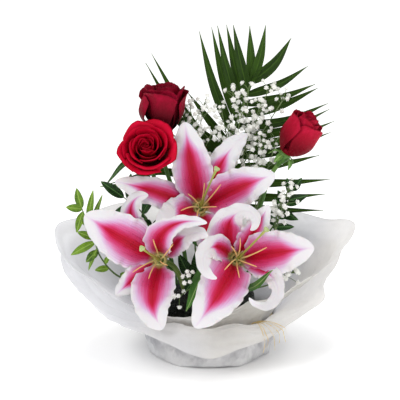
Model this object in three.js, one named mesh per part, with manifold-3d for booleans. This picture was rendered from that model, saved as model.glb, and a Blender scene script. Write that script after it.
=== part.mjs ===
// A mixed flower bouquet: three oriental lilies, three red roses, a palm frond, gypsophila and
// small foliage, standing in wet foam in a black bowl that two white sheets wrap and raffia ties.
// Millimetres, +Z up. The origin is the centre of the base on the table, and the front faces -Y.
import * as THREE from "three";
import { mergeVertices } from "three/addons/utils/BufferGeometryUtils.js";
import Module from "manifold-3d";

const wasm = await Module();
wasm.setup();

// Driving dimensions
const SEAT_GAP = 0.35; // left between two pieces that touch
const SHEET = 0.7; // thickness of a wrap sheet
const BOWL = { foot: 58, rim: 69, height: 44, wall: 2.2, bottom: 2.15 };
const FOAM = { foot: 53, shoulder: 55, top: 46, height: 80, bottom: 4.7 };
const NECK = { radius: 72.6, height: 45, sheetStep: 4.9 };
const PETAL = { lily: 1.0, rose: 0.9 };
const STEM = { lily: 3.2, rose: 2.6, spray: 1.2, sprig: 1.3, frond: 2.4 };

const COLOUR = {
  wrap: [0xf4f4f2, 0.8],
  raffia: [0xe6d3a8, 0.8],
  bowl: [0x151515, 0.4],
  foam: [0x1f2a1c, 0.95],
  lily: [0xe98aa8, 0.5],
  lilyStem: [0x7d8f3c, 0.6],
  rose: [0xa30a1c, 0.6],
  roseStem: [0x3f6b2a, 0.6],
  palm: [0x23451c, 0.5],
  gypsophila: [0xeef0e4, 0.8],
  leaf: [0x47792b, 0.5],
  darkLeaf: [0x1d3a1a, 0.45],
};

const group = new THREE.Group();
const vec = (x, y, z) => new THREE.Vector3(x, y, z);
const vecs = (rows) => rows.map(([x, y, z]) => vec(x, y, z));
const rad = THREE.MathUtils.degToRad;
const lerp = THREE.MathUtils.lerp;
const clamp = THREE.MathUtils.clamp;

// Seeded draws between low and high, the same on every run.
function draws(seed) {
  let state = seed;
  return (low, high) => {
    state = (state * 1664525 + 1013904223) % 4294967296;
    return low + ((high - low) * state) / 4294967296;
  };
}

// Any closed three.js geometry as a solid.
function solid(geometry) {
  geometry.deleteAttribute("normal");
  geometry.deleteAttribute("uv");
  const merged = mergeVertices(geometry, 1e-4);
  const vertProperties = merged.attributes.position.array;
  const triVerts = new Uint32Array(merged.index.array);
  return new wasm.Manifold(new wasm.Mesh({ numProp: 3, vertProperties, triVerts }));
}

// A closed surface given by its points and faces, turned outwards if it is inside out.
function solidOfFaces(points, faces) {
  let volume = 0;
  for (const [a, b, c] of faces) {
    volume += points[a].dot(new THREE.Vector3().crossVectors(points[b], points[c]));
  }
  const outward = volume < 0 ? faces.map(([a, b, c]) => [a, c, b]) : faces;
  const geometry = new THREE.BufferGeometry().setFromPoints(points);
  geometry.setIndex(outward.flat());
  return solid(geometry);
}

const join = (solids) => solids.reduce((all, one) => all.add(one));

// Adds the largest body of a solid to the object as a named mesh.
function node(name, whole, [colour, roughness]) {
  const kept = whole.decompose().sort((a, b) => b.volume() - a.volume())[0];
  const { numProp, numVert, vertProperties, triVerts } = kept.getMesh();
  const position = new Float32Array(numVert * 3);
  for (let i = 0; i < numVert; i++) {
    position.set(vertProperties.subarray(i * numProp, i * numProp + 3), i * 3);
  }
  const geometry = new THREE.BufferGeometry();
  geometry.setAttribute("position", new THREE.BufferAttribute(position, 3));
  geometry.setIndex(new THREE.BufferAttribute(triVerts, 1));
  geometry.computeVertexNormals();
  const material = new THREE.MeshStandardMaterial({ color: colour, roughness, metalness: 0 });
  const mesh = new THREE.Mesh(geometry, material);
  mesh.name = name;
  group.add(mesh);
}

// A thin blade round the surface point(s, t), s from root to tip and t from -1 to 1 across it.
// Both faces are split into the same triangles.
function blade(point, steps, across, thick) {
  const small = 1e-3;
  const front = [];
  const back = [];
  for (let i = 0; i <= steps; i++) {
    for (let j = 0; j <= across; j++) {
      const s = i / steps;
      const t = (2 * j) / across - 1;
      const alongS = point(Math.min(1, s + small), t).sub(point(Math.max(0, s - small), t));
      const alongT = point(s, Math.min(1, t + small)).sub(point(s, Math.max(-1, t - small)));
      const normal = alongS.cross(alongT).normalize();
      front.push(point(s, t).addScaledVector(normal, thick / 2));
      back.push(point(s, t).addScaledVector(normal, -thick / 2));
    }
  }
  const at = (i, j) => i * (across + 1) + j;
  const faces = [];
  const count = front.length;
  for (let i = 0; i < steps; i++) {
    for (let j = 0; j < across; j++) {
      const [a, b, c, d] = [at(i, j), at(i + 1, j), at(i + 1, j + 1), at(i, j + 1)];
      faces.push([a, b, c], [a, c, d]);
      faces.push([a + count, c + count, b + count], [a + count, d + count, c + count]);
    }
  }
  const edge = [];
  for (let i = 0; i < steps; i++) edge.push(at(i, 0));
  for (let j = 0; j < across; j++) edge.push(at(steps, j));
  for (let i = steps; i > 0; i--) edge.push(at(i, across));
  for (let j = across; j > 0; j--) edge.push(at(0, j));
  edge.forEach((p, k) => {
    const q = edge[(k + 1) % edge.length];
    faces.push([q, p, p + count], [q, p + count, q + count]);
  });
  return solidOfFaces([...front, ...back], faces);
}

// A solid through rings of points, all with the same count, with flat ends.
function loft(rings) {
  const sides = rings[0].length;
  const faces = [];
  for (let k = 0; k + 1 < rings.length; k++) {
    for (let j = 0; j < sides; j++) {
      const next = (j + 1) % sides;
      const [a, b] = [k * sides + j, k * sides + next];
      faces.push([a, b, b + sides], [a, b + sides, a + sides]);
    }
  }
  const last = (rings.length - 1) * sides;
  for (let j = 1; j + 1 < sides; j++) {
    faces.push([0, j + 1, j], [last, last + j, last + j + 1]);
  }
  return solidOfFaces(rings.flat(), faces);
}

// A round solid about the Z axis through [height, radius] rows.
function turned(rows, sides, matrix = new THREE.Matrix4()) {
  return loft(
    rows.map(([z, r]) =>
      Array.from({ length: sides }, (_, j) => {
        const a = (2 * Math.PI * j) / sides;
        return vec(r * Math.cos(a), r * Math.sin(a), z).applyMatrix4(matrix);
      }),
    ),
  );
}

// The rings of a tapering rod through points, with one radius for each.
function rodRings(points, radii, sides) {
  const whole = points[points.length - 1].clone().sub(points[0]).normalize();
  const guide = Math.abs(whole.z) > 0.8 ? vec(0, 1, 0) : vec(0, 0, 1);
  return points.map((p, k) => {
    const before = points[Math.max(0, k - 1)];
    const after = points[Math.min(points.length - 1, k + 1)];
    const along = after.clone().sub(before).normalize();
    const side = guide.clone().cross(along).normalize();
    const up = along.clone().cross(side);
    return Array.from({ length: sides }, (_, j) => {
      const a = (2 * Math.PI * j) / sides;
      const out = side.clone().multiplyScalar(Math.cos(a)).addScaledVector(up, Math.sin(a));
      return p.clone().addScaledVector(out, radii[k]);
    });
  });
}
const rod = (points, radii, sides = 3) => loft(rodRings(points, radii, sides));

// A round stem along a smooth curve.
function stem(points, radius, sides, steps) {
  const outline = Array.from({ length: sides }, (_, j) => {
    const a = (2 * Math.PI * j) / sides;
    return new THREE.Vector2(radius * Math.cos(a), radius * Math.sin(a));
  });
  const extrudePath = new THREE.CatmullRomCurve3(vecs(points), false, "centripetal");
  const shape = new THREE.Shape(outline);
  return solid(new THREE.ExtrudeGeometry(shape, { steps, extrudePath, bevelEnabled: false }));
}

// The stems stand in holes of the foam: each hole is its stem made fatter and a little longer.
const foamHoles = [];
function plantedStem(points, radius, sides = 5, steps = 7) {
  const [foot, next] = vecs(points);
  const deeper = foot.clone().addScaledVector(next.clone().sub(foot).normalize(), -SEAT_GAP);
  const fat = radius / Math.cos(Math.PI / sides) + SEAT_GAP;
  foamHoles.push(stem([asRow(deeper), ...points.slice(1)], fat, sides, steps));
  return stem(points, radius, sides, steps);
}

// A folded leaf along a curve: each station is a flat diamond whose two edges rise by the fold.
// The outline gives its half width, from 0 to 1, at each share of its length.
const LANCE = [
  [0, 0.16],
  [0.3, 0.92],
  [0.64, 0.86],
  [1, 0.06],
];
const LEAFLET = [
  [0, 0.3],
  [0.34, 1],
  [0.7, 0.72],
  [1, 0.05],
];
function leaf(points, width, face, { fold = 0.22, thick = 1.4, outline = LANCE } = {}) {
  const curve = new THREE.CatmullRomCurve3(points, false, "centripetal");
  return loft(
    outline.map(([s, share]) => {
      const centre = curve.getPointAt(s);
      const along = curve.getTangentAt(s);
      const across = along.clone().cross(face).normalize();
      const normal = across.clone().cross(along).normalize();
      const half = Math.max(0.45, (width / 2) * share);
      const deep = thick * (0.45 + 0.55 * share) * 0.5;
      const rise = fold * half;
      return [
        centre.clone().addScaledVector(across, -half).addScaledVector(normal, rise),
        centre.clone().addScaledVector(normal, -deep),
        centre.clone().addScaledVector(across, half).addScaledVector(normal, rise),
        centre.clone().addScaledVector(normal, deep),
      ];
    }),
  );
}

// The frame of a bloom: Z is the way it faces, X lies to the right of a viewer in front.
function facingFrame(centre, facing) {
  const z = vec(...facing).normalize();
  const x = vec(1, 0, 0).addScaledVector(z, -z.x).normalize();
  const y = z.clone().cross(x);
  return new THREE.Matrix4().makeBasis(x, y, z).setPosition(...centre);
}
const inFrame = (matrix, x, y, z) => vec(x, y, z).applyMatrix4(matrix);
function asRow(point) {
  return [point.x, point.y, point.z];
}

// The wrap
// Each sheet's edge is given by rows of angle, radius, height and how far it droops over, with
// 0 degrees to the right and 270 to the front. The corners of the square sheets stand out.
const INNER_EDGE = [
  [0, 177, 154, 0],
  [20, 150, 150, 0],
  [44, 137, 150, 0],
  [66, 122, 152, 0],
  [90, 116, 152, 0],
  [116, 126, 152, 0],
  [140, 148, 158, 0],
  [164, 166, 153, 0],
  [179, 188, 151, 0],
  [190, 178, 125, 0],
  [203, 152, 104, 0],
  [218, 130, 86, 0],
  [234, 113, 72, 2],
  [254, 98, 71, 3],
  [274, 94, 75, 3],
  [294, 98, 86, 2],
  [314, 110, 91, 0],
  [332, 124, 103, 0],
  [347, 146, 119, 0],
];
const OUTER_EDGE = [
  [0, 160, 124, 0],
  [22, 142, 126, 0],
  [46, 134, 127, 0],
  [68, 124, 126, 0],
  [90, 120, 126, 0],
  [112, 124, 127, 0],
  [136, 136, 134, 0],
  [160, 158, 128, 0],
  [180, 182, 120, 0],
  [194, 171, 98, 0],
  [209, 150, 72, 2],
  [226, 130, 56, 10],
  [244, 116, 44, 20],
  [258, 113, 33, 30],
  [271, 112, 28, 34],
  [288, 112, 38, 28],
  [304, 117, 46, 20],
  [318, 118, 54, 10],
  [328, 128, 64, 5],
  [336, 146, 79, 2],
  [346, 141, 94, 0],
];
const WAVES = 9;

// A smooth closed curve through the rows of an edge, at any angle.
function edgeAt(rows, degrees) {
  const n = rows.length;
  const turn = ((degrees % 360) + 360) % 360;
  const k = rows.findIndex(([a], i) => turn >= a && turn < (i + 1 < n ? rows[i + 1][0] : 360));
  const row = (i) => rows[(i + n) % n];
  const angle = (i) => row(i)[0] + 360 * Math.floor(i / n);
  const span = angle(k + 1) - angle(k);
  const s = (turn - angle(k)) / span;
  return [1, 2, 3].map((c) => {
    const slope = (i) => (row(i + 1)[c] - row(i - 1)[c]) / (angle(i + 1) - angle(i - 1));
    const [p, q, u, v] = [row(k)[c], row(k + 1)[c], slope(k) * span, slope(k + 1) * span];
    const h = (1 - s) * (1 - s);
    return p * (1 + 2 * s) * h + u * s * h + q * s * s * (3 - 2 * s) + v * s * s * (s - 1);
  });
}

// A sheet's surface: v from 0 at the middle of the base, up the bag to the neck at 0.4, and out
// along a curve to the edge at 1. The gathers run down from the neck and fade towards the edge.
function wrapPoint(rows, step, floor, degrees, v) {
  const neck = NECK.radius + step;
  const a = rad(degrees);
  let r = (Math.min(v, 0.2) / 0.2) * (neck - 3);
  let z = floor;
  if (v > 0.2 && v <= 0.4) {
    const up = (v - 0.2) / 0.2;
    r = neck - 3 * (1 - up) + 2.6 * Math.sin(Math.PI * up);
    z = lerp(floor, NECK.height, up);
  } else if (v > 0.4) {
    const s = (v - 0.4) / 0.6;
    const [edge, height, droop] = edgeAt(rows, degrees);
    const [dr, dz] = [edge - neck, height - NECK.height];
    const reach = Math.hypot(dr, dz);
    const w = [(1 - s) ** 3, 3 * s * (1 - s) ** 2, 3 * s * s * (1 - s), s ** 3];
    r = w[0] * neck + w[1] * (neck + 0.14 * reach) + w[2] * (edge - 0.34 * dr) + w[3] * edge;
    z = w[0] * NECK.height + w[1] * (NECK.height + 0.3 * reach + 0.2 * droop);
    z += w[2] * (height - 0.3 * dz + droop) + w[3] * height;
    z += 2.4 * Math.sin(WAVES * a + 0.6) * Math.sin(Math.PI * s);
  }
  const gather = Math.sin(Math.PI * clamp((v - 0.2) / 0.5, 0, 1));
  r += 0.4 * Math.sin(2 * WAVES * a) * gather;
  return vec(r * Math.cos(a), r * Math.sin(a), z);
}

// The unit vector out of a sheet, away from the flowers.
function wrapNormal(rows, step, floor, degrees, v) {
  const small = 1e-3;
  const high = wrapPoint(rows, step, floor, degrees, Math.min(1, v + small));
  const up = high.sub(wrapPoint(rows, step, floor, degrees, v - small));
  const left = wrapPoint(rows, step, floor, degrees + small, v);
  return left.sub(wrapPoint(rows, step, floor, degrees - small, v)).cross(up).normalize();
}

const SHEET_ROWS = [0.2, 0.4, 0.52, 0.68, 0.84, 1];
function wrapSheet(rows, step, floor, segments) {
  const inside = [vec(0, 0, floor + SHEET / 2)];
  const outside = [vec(0, 0, floor - SHEET / 2)];
  for (const v of SHEET_ROWS) {
    for (let j = 0; j < segments; j++) {
      const degrees = (360 * j) / segments;
      const p = wrapPoint(rows, step, floor, degrees, v);
      const out = v === 0.2 ? vec(0, 0, -1) : wrapNormal(rows, step, floor, degrees, v);
      inside.push(p.clone().addScaledVector(out, -SHEET / 2));
      outside.push(p.clone().addScaledVector(out, SHEET / 2));
    }
  }
  const at = (i, j) => 1 + i * segments + (j % segments);
  const count = inside.length;
  const faces = [];
  const both = (a, b, c) => faces.push([a, b, c], [a + count, c + count, b + count]);
  for (let j = 0; j < segments; j++) {
    both(0, at(0, j), at(0, j + 1));
    for (let i = 0; i + 1 < SHEET_ROWS.length; i++) {
      both(at(i, j), at(i + 1, j), at(i + 1, j + 1));
      both(at(i, j), at(i + 1, j + 1), at(i, j + 1));
    }
    const [p, q] = [at(SHEET_ROWS.length - 1, j), at(SHEET_ROWS.length - 1, j + 1)];
    faces.push([q, p, p + count], [q, p + count, q + count]);
  }
  return solidOfFaces([...inside, ...outside], faces);
}

const OUTER = [OUTER_EDGE, NECK.sheetStep, SHEET / 2];
const INNER = [INNER_EDGE, 0, SHEET * 1.5 + SEAT_GAP];
node("wrap_outer_sheet", wrapSheet(...OUTER, 30), COLOUR.wrap);
node("wrap_inner_sheet", wrapSheet(...INNER, 30), COLOUR.wrap);

// The raffia ties the inner sheet at its neck. From a flat knot at the front right, its loose
// ends come out between the sheets and hang over the edge of the outer one.
const TIE = { radius: 75.1, height: 44, strand: 1.0, knotAngle: -52, lift: 2.6 };
const TIE_ENDS = [[-57, 9], [-51, 15], [-43, 6]]; // angle and drop
function raffiaTie() {
  const band = new THREE.TorusGeometry(TIE.radius, TIE.strand, 3, 24);
  const parts = [solid(band.translate(0, 0, TIE.height))];
  const onSheet = (angle, v) =>
    wrapPoint(...OUTER, angle, v).addScaledVector(wrapNormal(...OUTER, angle, v), -TIE.lift);
  const knot = vec(TIE.radius, 0, TIE.height).applyAxisAngle(vec(0, 0, 1), rad(TIE.knotAngle));
  for (const [angle, drop] of TIE_ENDS) {
    const way = (share) => lerp(TIE.knotAngle, angle, share);
    const points = [0.5, 0.6, 0.72, 0.84, 0.96].map((v) => onSheet(way(1.7 * v - 0.7), v));
    const edge = wrapPoint(...OUTER, angle, 1);
    const out = vec(edge.x, edge.y, 0).normalize();
    const over = edge.clone().addScaledVector(out, 2.4).add(vec(0, 0, 0.8));
    points.push(over, over.clone().addScaledVector(out, 1.2).add(vec(0, 0, -drop)));
    parts.push(rod([knot, ...points], [0.9, 0.9, 0.85, 0.8, 0.75, 0.7, 0.65, 0.5], 3));
  }
  const lump = new THREE.IcosahedronGeometry(1, 0).scale(1.2, 4, 3);
  lump.rotateZ(rad(TIE.knotAngle)).translate(knot.x, knot.y, knot.z - 1);
  return join([...parts, solid(lump)]);
}
node("raffia_tie", raffiaTie(), COLOUR.raffia);

// The bowl
function bowlSolid() {
  const { foot, rim, height, wall, bottom } = BOWL;
  const profile = [
    [0, bottom],
    [foot, bottom],
    [rim - 1, height - 3],
    [rim, height - 3],
    [rim, height],
    [rim - wall, height],
    [foot - wall, bottom + wall],
    [0, bottom + wall],
  ];
  const outline = profile.map(([x, y]) => new THREE.Vector2(x, y));
  return solid(new THREE.LatheGeometry(outline, 20).rotateX(Math.PI / 2));
}
node("floral_bowl", bowlSolid(), COLOUR.bowl);

// The lilies
// A tepal is a row of azimuth, length, width, lean, curl, phase and what differs from the usual.
// It leaves the cup at its lean from the bloom's axis, bends back to its curl, and may turn to
// one side. It wraps round the axis at its foot, flattens beyond, and ends in a blunt tip; a taper
// makes its far half narrower. Its edges are ruffled.
const BENDS = 40;
function tepal([azimuth, length, width, lean, curl, phase, unusual = {}]) {
  const { power = 1.5, bend = 0, hook = 1.6, start = 5.4, ruffle = 2.6, taper = 0 } = unusual;
  const leanAt = (s) => rad(lean + (curl - lean) * s ** power);
  const headingAt = (s) => rad(azimuth + bend * s ** hook);
  const way = (b, a) => vec(Math.sin(b) * Math.cos(a), Math.sin(b) * Math.sin(a), Math.cos(b));
  const route = [way(Math.PI / 2, rad(azimuth)).multiplyScalar(start)];
  for (let k = 0; k < BENDS; k++) {
    const s = (k + 0.5) / BENDS;
    route.push(route[k].clone().addScaledVector(way(leanAt(s), headingAt(s)), length / BENDS));
  }
  return (s, t) => {
    const k = Math.min(BENDS - 1, Math.floor(s * BENDS));
    const centre = route[k].clone().lerp(route[k + 1], s * BENDS - k);
    const across = way(Math.PI / 2, headingAt(s) + Math.PI / 2);
    const inner = way(leanAt(s) - Math.PI / 2, headingAt(s));
    const radius = start + 0.5 * length * s;
    const arch = Math.sin(Math.PI * Math.min(1, s) ** 0.85) ** (s < 0.44 ? 0.8 : 0.56);
    const narrow = 1 - taper * THREE.MathUtils.smoothstep(s, 0.3, 0.7);
    const full = (width / 2) * (0.1 * (1 - s) ** 2 + arch + 0.02) * narrow;
    const half = Math.min(full, 0.95 * radius * (1 + 8 * s * s));
    const bowl = ((0.9 * (1 - s) ** 3) / radius) * half;
    const cup = half * t * t * (0.5 * bowl - 0.16 * s);
    const wave = Math.sin(Math.PI * s) * Math.sin(12.5 * s + phase + (t > 0 ? 1.6 : 0));
    return centre.addScaledVector(across, half * t * (1 - (bowl * bowl * t * t) / 6))
      .addScaledVector(inner, cup + ruffle * t * t * wave);
  };
}

const LILY = {
  cupInner: 4.4,
  cupOuter: 7.6,
  cupDepth: 6,
  cupTop: 5,
  receptacle: 4.0,
  filament: 0.75,
  style: 1.25,
};
const LILIES = [
  {
    name: "lily_top",
    centre: [-12, 12, 174],
    facing: [0.02, -0.86, 0.42],
    tepals: [
      [106, 112, 46, 30, 96, 0.3, { power: 1.3, bend: -8, hook: 1 }],
      [64, 110, 32, 40, 118, 2.0, { bend: -30, hook: 3, start: 7 }],
      [20, 109, 48, 30, 102, 4.0, { bend: -1, start: 6.2 }],
      [167, 112, 34, 42, 100, 1.0, { start: 7 }],
      [208, 81, 44, 26, 108, 5.0, { power: 2, bend: 18 }],
      [286, 70, 34, 44, 150, 3.0, { start: 7 }],
    ],
    style: { azimuth: 62, lean: 26, length: 78 },
    stem: [
      [-5, 8, 58],
      [-6, 10, 86],
      [-8, 22, 130],
      [-10, 26, 158],
    ],
    leaves: [
      { at: [-7.5, 19, 122], out: [-42, 15, 156], tip: [-66, 4, 190], width: 17 },
      { at: [-8, 22, 132], out: [20, 34, 170], tip: [34, 26, 208], width: 16 },
      { at: [-8, 22, 132], out: [-78, 10, 200], tip: [-132, 6, 203], width: 7 },
    ],
  },
  {
    name: "lily_left",
    centre: [-59, -30, 122],
    facing: [-0.16, -0.9, 0.32],
    tepals: [
      [148, 107, 56, 30, 97, 0.6, { power: 1, start: 6.2 }],
      [90, 122, 38, 20, 120, 3.4, { power: 2, bend: -105, hook: 1, taper: 0.45 }],
      [266, 104, 50, 34, 100, 2.2, { power: 2.2, bend: 44, hook: 2.6 }],
      [222, 69, 29, 34, 98, 1.2, { start: 7 }],
      [39, 90, 26, 40, 84, 4.4, { power: 2.8, bend: -78, hook: 3.1, start: 7 }],
      [128, 98, 26, 52, 104, 5.3, { bend: -150, hook: 3.2, start: 7 }],
    ],
    style: { azimuth: 130, lean: 9, length: 66 },
    stem: [
      [-26, -14, 58],
      [-32, -18, 84],
      [-43, -15, 108],
    ],
    leaves: [{ at: [-39, -16, 100], out: [-66, 2, 112], tip: [-92, 6, 140], width: 16 }],
  },
  {
    name: "lily_right",
    centre: [31, -34, 124],
    facing: [0.12, -0.9, 0.34],
    tepals: [
      [120, 108, 50, 46, 108, 0.2,
        { power: 2.8, bend: -280, hook: 2.3, start: 7, ruffle: 1.6, taper: 0.6 }],
      [7, 105, 52, 30, 98, 2.6, { power: 2.2 }],
      [237, 126, 54, 20, 102, 4.6, { power: 1.3, bend: -5, hook: 1.5 }],
      [335, 136, 24, 34, 104, 1.1,
        { power: 2.8, bend: -221, hook: 2.3, start: 7, ruffle: 1.2, taper: 0.35 }],
      [151, 124, 30, 28, 90, 3.2, { power: 2.8, bend: 200, hook: 2.1, start: 7, taper: 0.3 }],
      [62, 80, 28, 36, 98, 5.4, { power: 1.9 }],
    ],
    style: { azimuth: 50, lean: 30, length: 72 },
    stem: [
      [20, -14, 58],
      [24, -17, 84],
      [27, -12, 108],
    ],
    leaves: [
      { at: [24.5, -17, 92], out: [-5, -53, 112], tip: [-28, -97, 81], width: 18 },
      { at: [25, -17, 90], out: [49, -79, 103], tip: [71, -99, 131], width: 12 },
    ],
  },
];

function lilyPetals(spec) {
  const frame = facingFrame(spec.centre, spec.facing);
  const { cupInner, cupOuter, cupDepth, cupTop } = LILY;
  const wall = turned([[-cupDepth, cupOuter], [cupTop, cupOuter]], 8, frame);
  const bore = turned([[-cupDepth - 1, cupInner], [cupTop + 1, cupInner]], 8, frame);
  const blades = spec.tepals.map((row) => {
    const point = tepal(row);
    const shape = (s, t) => point(1 - (1 - s) ** 1.25, t).applyMatrix4(frame);
    return blade(shape, 5, row[2] > 40 ? 4 : 2, PETAL.lily);
  });
  return join([wall, ...blades]).subtract(bore);
}

// The green of a lily: its stem, leaves, receptacle, filaments and style, as they grow.
function lilyStem(spec) {
  const frame = facingFrame(spec.centre, spec.facing);
  const { cupDepth, cupTop, receptacle, filament } = LILY;
  const end = asRow(inFrame(frame, 0, 0, -cupDepth - 1));
  const behind = asRow(inFrame(frame, 0, 0, -cupDepth - 14));
  const parts = [plantedStem([...spec.stem, behind, end], STEM.lily)];
  const seat = [[-cupDepth - 3, STEM.lily], [-cupDepth, receptacle], [cupTop + 5, 3.4]];
  parts.push(turned(seat, 6, frame));
  const rise = (azimuth, lean, along, sag) => {
    const [a, b] = [rad(azimuth), rad(lean)];
    const r = along * Math.sin(b) + sag;
    return inFrame(frame, r * Math.cos(a), r * Math.sin(a), along * Math.cos(b));
  };
  for (let k = 0; k < 6; k++) {
    const azimuth = 20 + 60 * k;
    const length = 50 + 5 * Math.sin(2.3 * k);
    const lean = 15 + 3 * Math.cos(1.7 * k);
    const points = [rise(azimuth, 8, cupTop, 0), rise(azimuth, lean, length, 4)];
    parts.push(rod(points, [1.3, filament], 3));
  }
  const { azimuth, lean, length } = spec.style;
  const points = [rise(azimuth, 0, cupTop, 0), rise(azimuth, lean * 0.7, length * 0.5, 0)];
  points.push(rise(azimuth, lean, length, 3));
  parts.push(rod(points, [2.2, LILY.style, LILY.style + 0.3], 4));
  const tip = points[2];
  parts.push(solid(new THREE.OctahedronGeometry(3.6, 0).translate(tip.x, tip.y, tip.z)));
  for (const each of spec.leaves) {
    parts.push(leaf(vecs([each.at, each.out, each.tip]), each.width, vec(0, -0.7, 0.7)));
  }
  return join(parts);
}

for (const spec of LILIES) {
  node(spec.name + "_petals", lilyPetals(spec), COLOUR.lily);
  node(spec.name + "_stem", lilyStem(spec), COLOUR.lilyStem);
}

// The roses
// A rose petal wraps part of the way round the axis: it swells from its base to the ring's
// radius, and its rim flares out and rolls down. One side edge lies inside its neighbour.
function rosePetal(spec) {
  const { azimuth, spread, ring, height, flare, roll, close = 0, lap = 1.5 } = spec;
  const base = 3 + 0.26 * ring;
  return (s, t) => {
    const a = rad(azimuth + spread * t * (0.6 + 0.4 * Math.sin((Math.PI / 2) * s)));
    const swell = Math.sin((Math.PI / 2) * Math.min(1, s * 1.7)) ** 0.8;
    const r = base + (ring - base) * swell + flare * s ** 5 - close * s ** 3;
    const shift = lap * t * (0.4 + 0.6 * s);
    const z = height * s * (1 - 0.17 * t ** 4) - roll * s ** 6;
    return vec((r + shift) * Math.cos(a), (r + shift) * Math.sin(a), z);
  };
}

const ROSES = [
  {
    name: "rose_back",
    centre: [-55, 19, 269.5],
    facing: [0.02, -0.02, 1],
    height: 54,
    rings: [
      { count: 3, ring: 12, height: 55, spread: 64, flare: 3, roll: 1, turn: 50 },
      { count: 4, ring: 18.5, height: 56, spread: 52, flare: 5, roll: 3, lap: 2, turn: 82 },
      { count: 3, ring: 23.5, height: 52, spread: 60, flare: 6, roll: 4, turn: 250 },
      { count: 1, ring: 28, height: 43, spread: 34, flare: 6, roll: 4, turn: 176 },
    ],
    stem: [
      [-22, 18, 58],
      [-27, 22, 86],
      [-42, 28, 180],
    ],
  },
  {
    name: "rose_front",
    centre: [-73, -3.5, 243],
    facing: [-0.05, -0.83, 0.56],
    height: 36,
    rings: [
      { count: 3, ring: 8.5, height: 38, spread: 62, flare: 1, roll: 0, turn: 20 },
      { count: 3, ring: 16, height: 38, spread: 62, flare: 4, roll: 2, lap: 2.6, turn: 70 },
      { count: 5, ring: 25.5, height: 34, spread: 48, flare: 8.5, roll: 6, lap: 2.2, turn: 42 },
    ],
    stem: [
      [-34, 2, 58],
      [-42, 6, 84],
      [-58, 18, 170],
    ],
    leaf: [
      [-65, 22, 197],
      [-97, 9, 232],
      [-124, -3, 208],
    ],
  },
  {
    name: "rose_right",
    centre: [92, 6, 246],
    facing: [0.52, -0.14, 0.84],
    height: 48,
    rings: [
      { count: 3, ring: 12, height: 53, spread: 64, flare: 1, roll: 0, close: 3, turn: 70 },
      { count: 4, ring: 22, height: 49, spread: 56, flare: 3, roll: 2, close: 5, lap: 1.8, turn: 20 },
    ],
    stem: [
      [26, 2, 58],
      [32, 3, 86],
      [56, 12, 160],
    ],
  },
];
const HIP = { top: -2.4, length: 18, radius: 7.5 };

function rosePetals(spec) {
  const frame = facingFrame(spec.centre, spec.facing);
  const { height } = spec;
  const heart = [[-2, 7], [0, 10.8], [4.5, 11.4], [6, 5], [0.9 * height, 3.5], [0.97 * height, 1.6]];
  const parts = [turned(heart, 6, frame)];
  for (const ring of spec.rings) {
    for (let k = 0; k < ring.count; k++) {
      const point = rosePetal({ ...ring, azimuth: ring.turn + (360 * k) / ring.count });
      parts.push(blade((s, t) => point(s ** 0.9, t).applyMatrix4(frame), 3, 3, PETAL.rose));
    }
  }
  return join(parts);
}

// The green of a rose: the hip, five sepals and the stem.
function roseStem(spec) {
  const frame = facingFrame(spec.centre, spec.facing);
  const low = HIP.top - HIP.length;
  const end = asRow(inFrame(frame, 0, 0, low + 1));
  const behind = asRow(inFrame(frame, 0, 0, low - 16));
  const parts = [plantedStem([...spec.stem, behind, end], STEM.rose)];
  const hip = [[low - 2, STEM.rose], [low + 5, 4.2], [low + 12, HIP.radius], [HIP.top, 6.6]];
  parts.push(turned(hip, 8, frame));
  for (let k = 0; k < 5; k++) {
    const a = rad(72 * k + 20);
    const at = (r, z) => inFrame(frame, r * Math.cos(a), r * Math.sin(a), z);
    const face = at(1, 0).sub(at(0, 0));
    parts.push(leaf([at(5.2, HIP.top - 3), at(11.5, HIP.top - 5), at(17, HIP.top - 13)], 7, face));
  }
  if (spec.leaf) parts.push(leaf(vecs(spec.leaf), 7, vec(0, -0.8, 0.6)));
  return join(parts);
}

for (const spec of ROSES) {
  node(spec.name + "_petals", rosePetals(spec), COLOUR.rose);
  node(spec.name + "_stem", roseStem(spec), COLOUR.roseStem);
}

// The palm frond
// The rib leans to the right at its top. Each leaflet leaves it at a height and runs to a tip,
// its middle shifted along the third number across its length, as a share of that length.
const RIB = [
  [4, 30, 58],
  [6, 37, 86],
  [17, 58, 150],
  [20, 64, 210],
  [34, 66, 272],
  [52, 66, 320],
];
const LEAFLETS = [
  [318, [48, 63, 388], 0.0, 12],
  [319, [67, 56, 390], -0.03, 12],
  [319, [98, 59, 374], -0.07, 15],
  [303, [119, 63, 339], -0.06, 12],
  [292, [128, 57, 318], -0.05, 12],
  [278, [133, 66, 312], -0.05, 13],
  [264, [144, 58, 294], -0.07, 13],
  [251, [147, 67, 285], -0.08, 12],
  [238, [152, 57, 272], -0.06, 13],
  [226, [149, 67, 256], -0.06, 12],
  [212, [135, 58, 229], -0.04, 12],
  [194, [150, 64, 197], -0.02, 12],
  [178, [144, 57, 180], -0.03, 12],
  [165, [141, 50, 161], -0.02, 11],
  [306, [28, 60, 390], -0.01, 13],
  [294, [20, 67, 389], -0.01, 12],
  [282, [9, 59, 389], -0.02, 12],
  [270, [2, 67, 386], -0.02, 12],
  [254, [-13, 60, 382], -0.03, 13],
  [238, [-27, 66, 306], 0.0, 11],
  [226, [-36, 60, 278], 0.0, 17],
  [212, [-71, 67, 354], -0.03, 12],
  [198, [-78, 59, 344], -0.03, 12],
  [180, [-62, 66, 246], 0.04, 16],
  [165, [-126, 44, 196], 0.2, 12],
];
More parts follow.
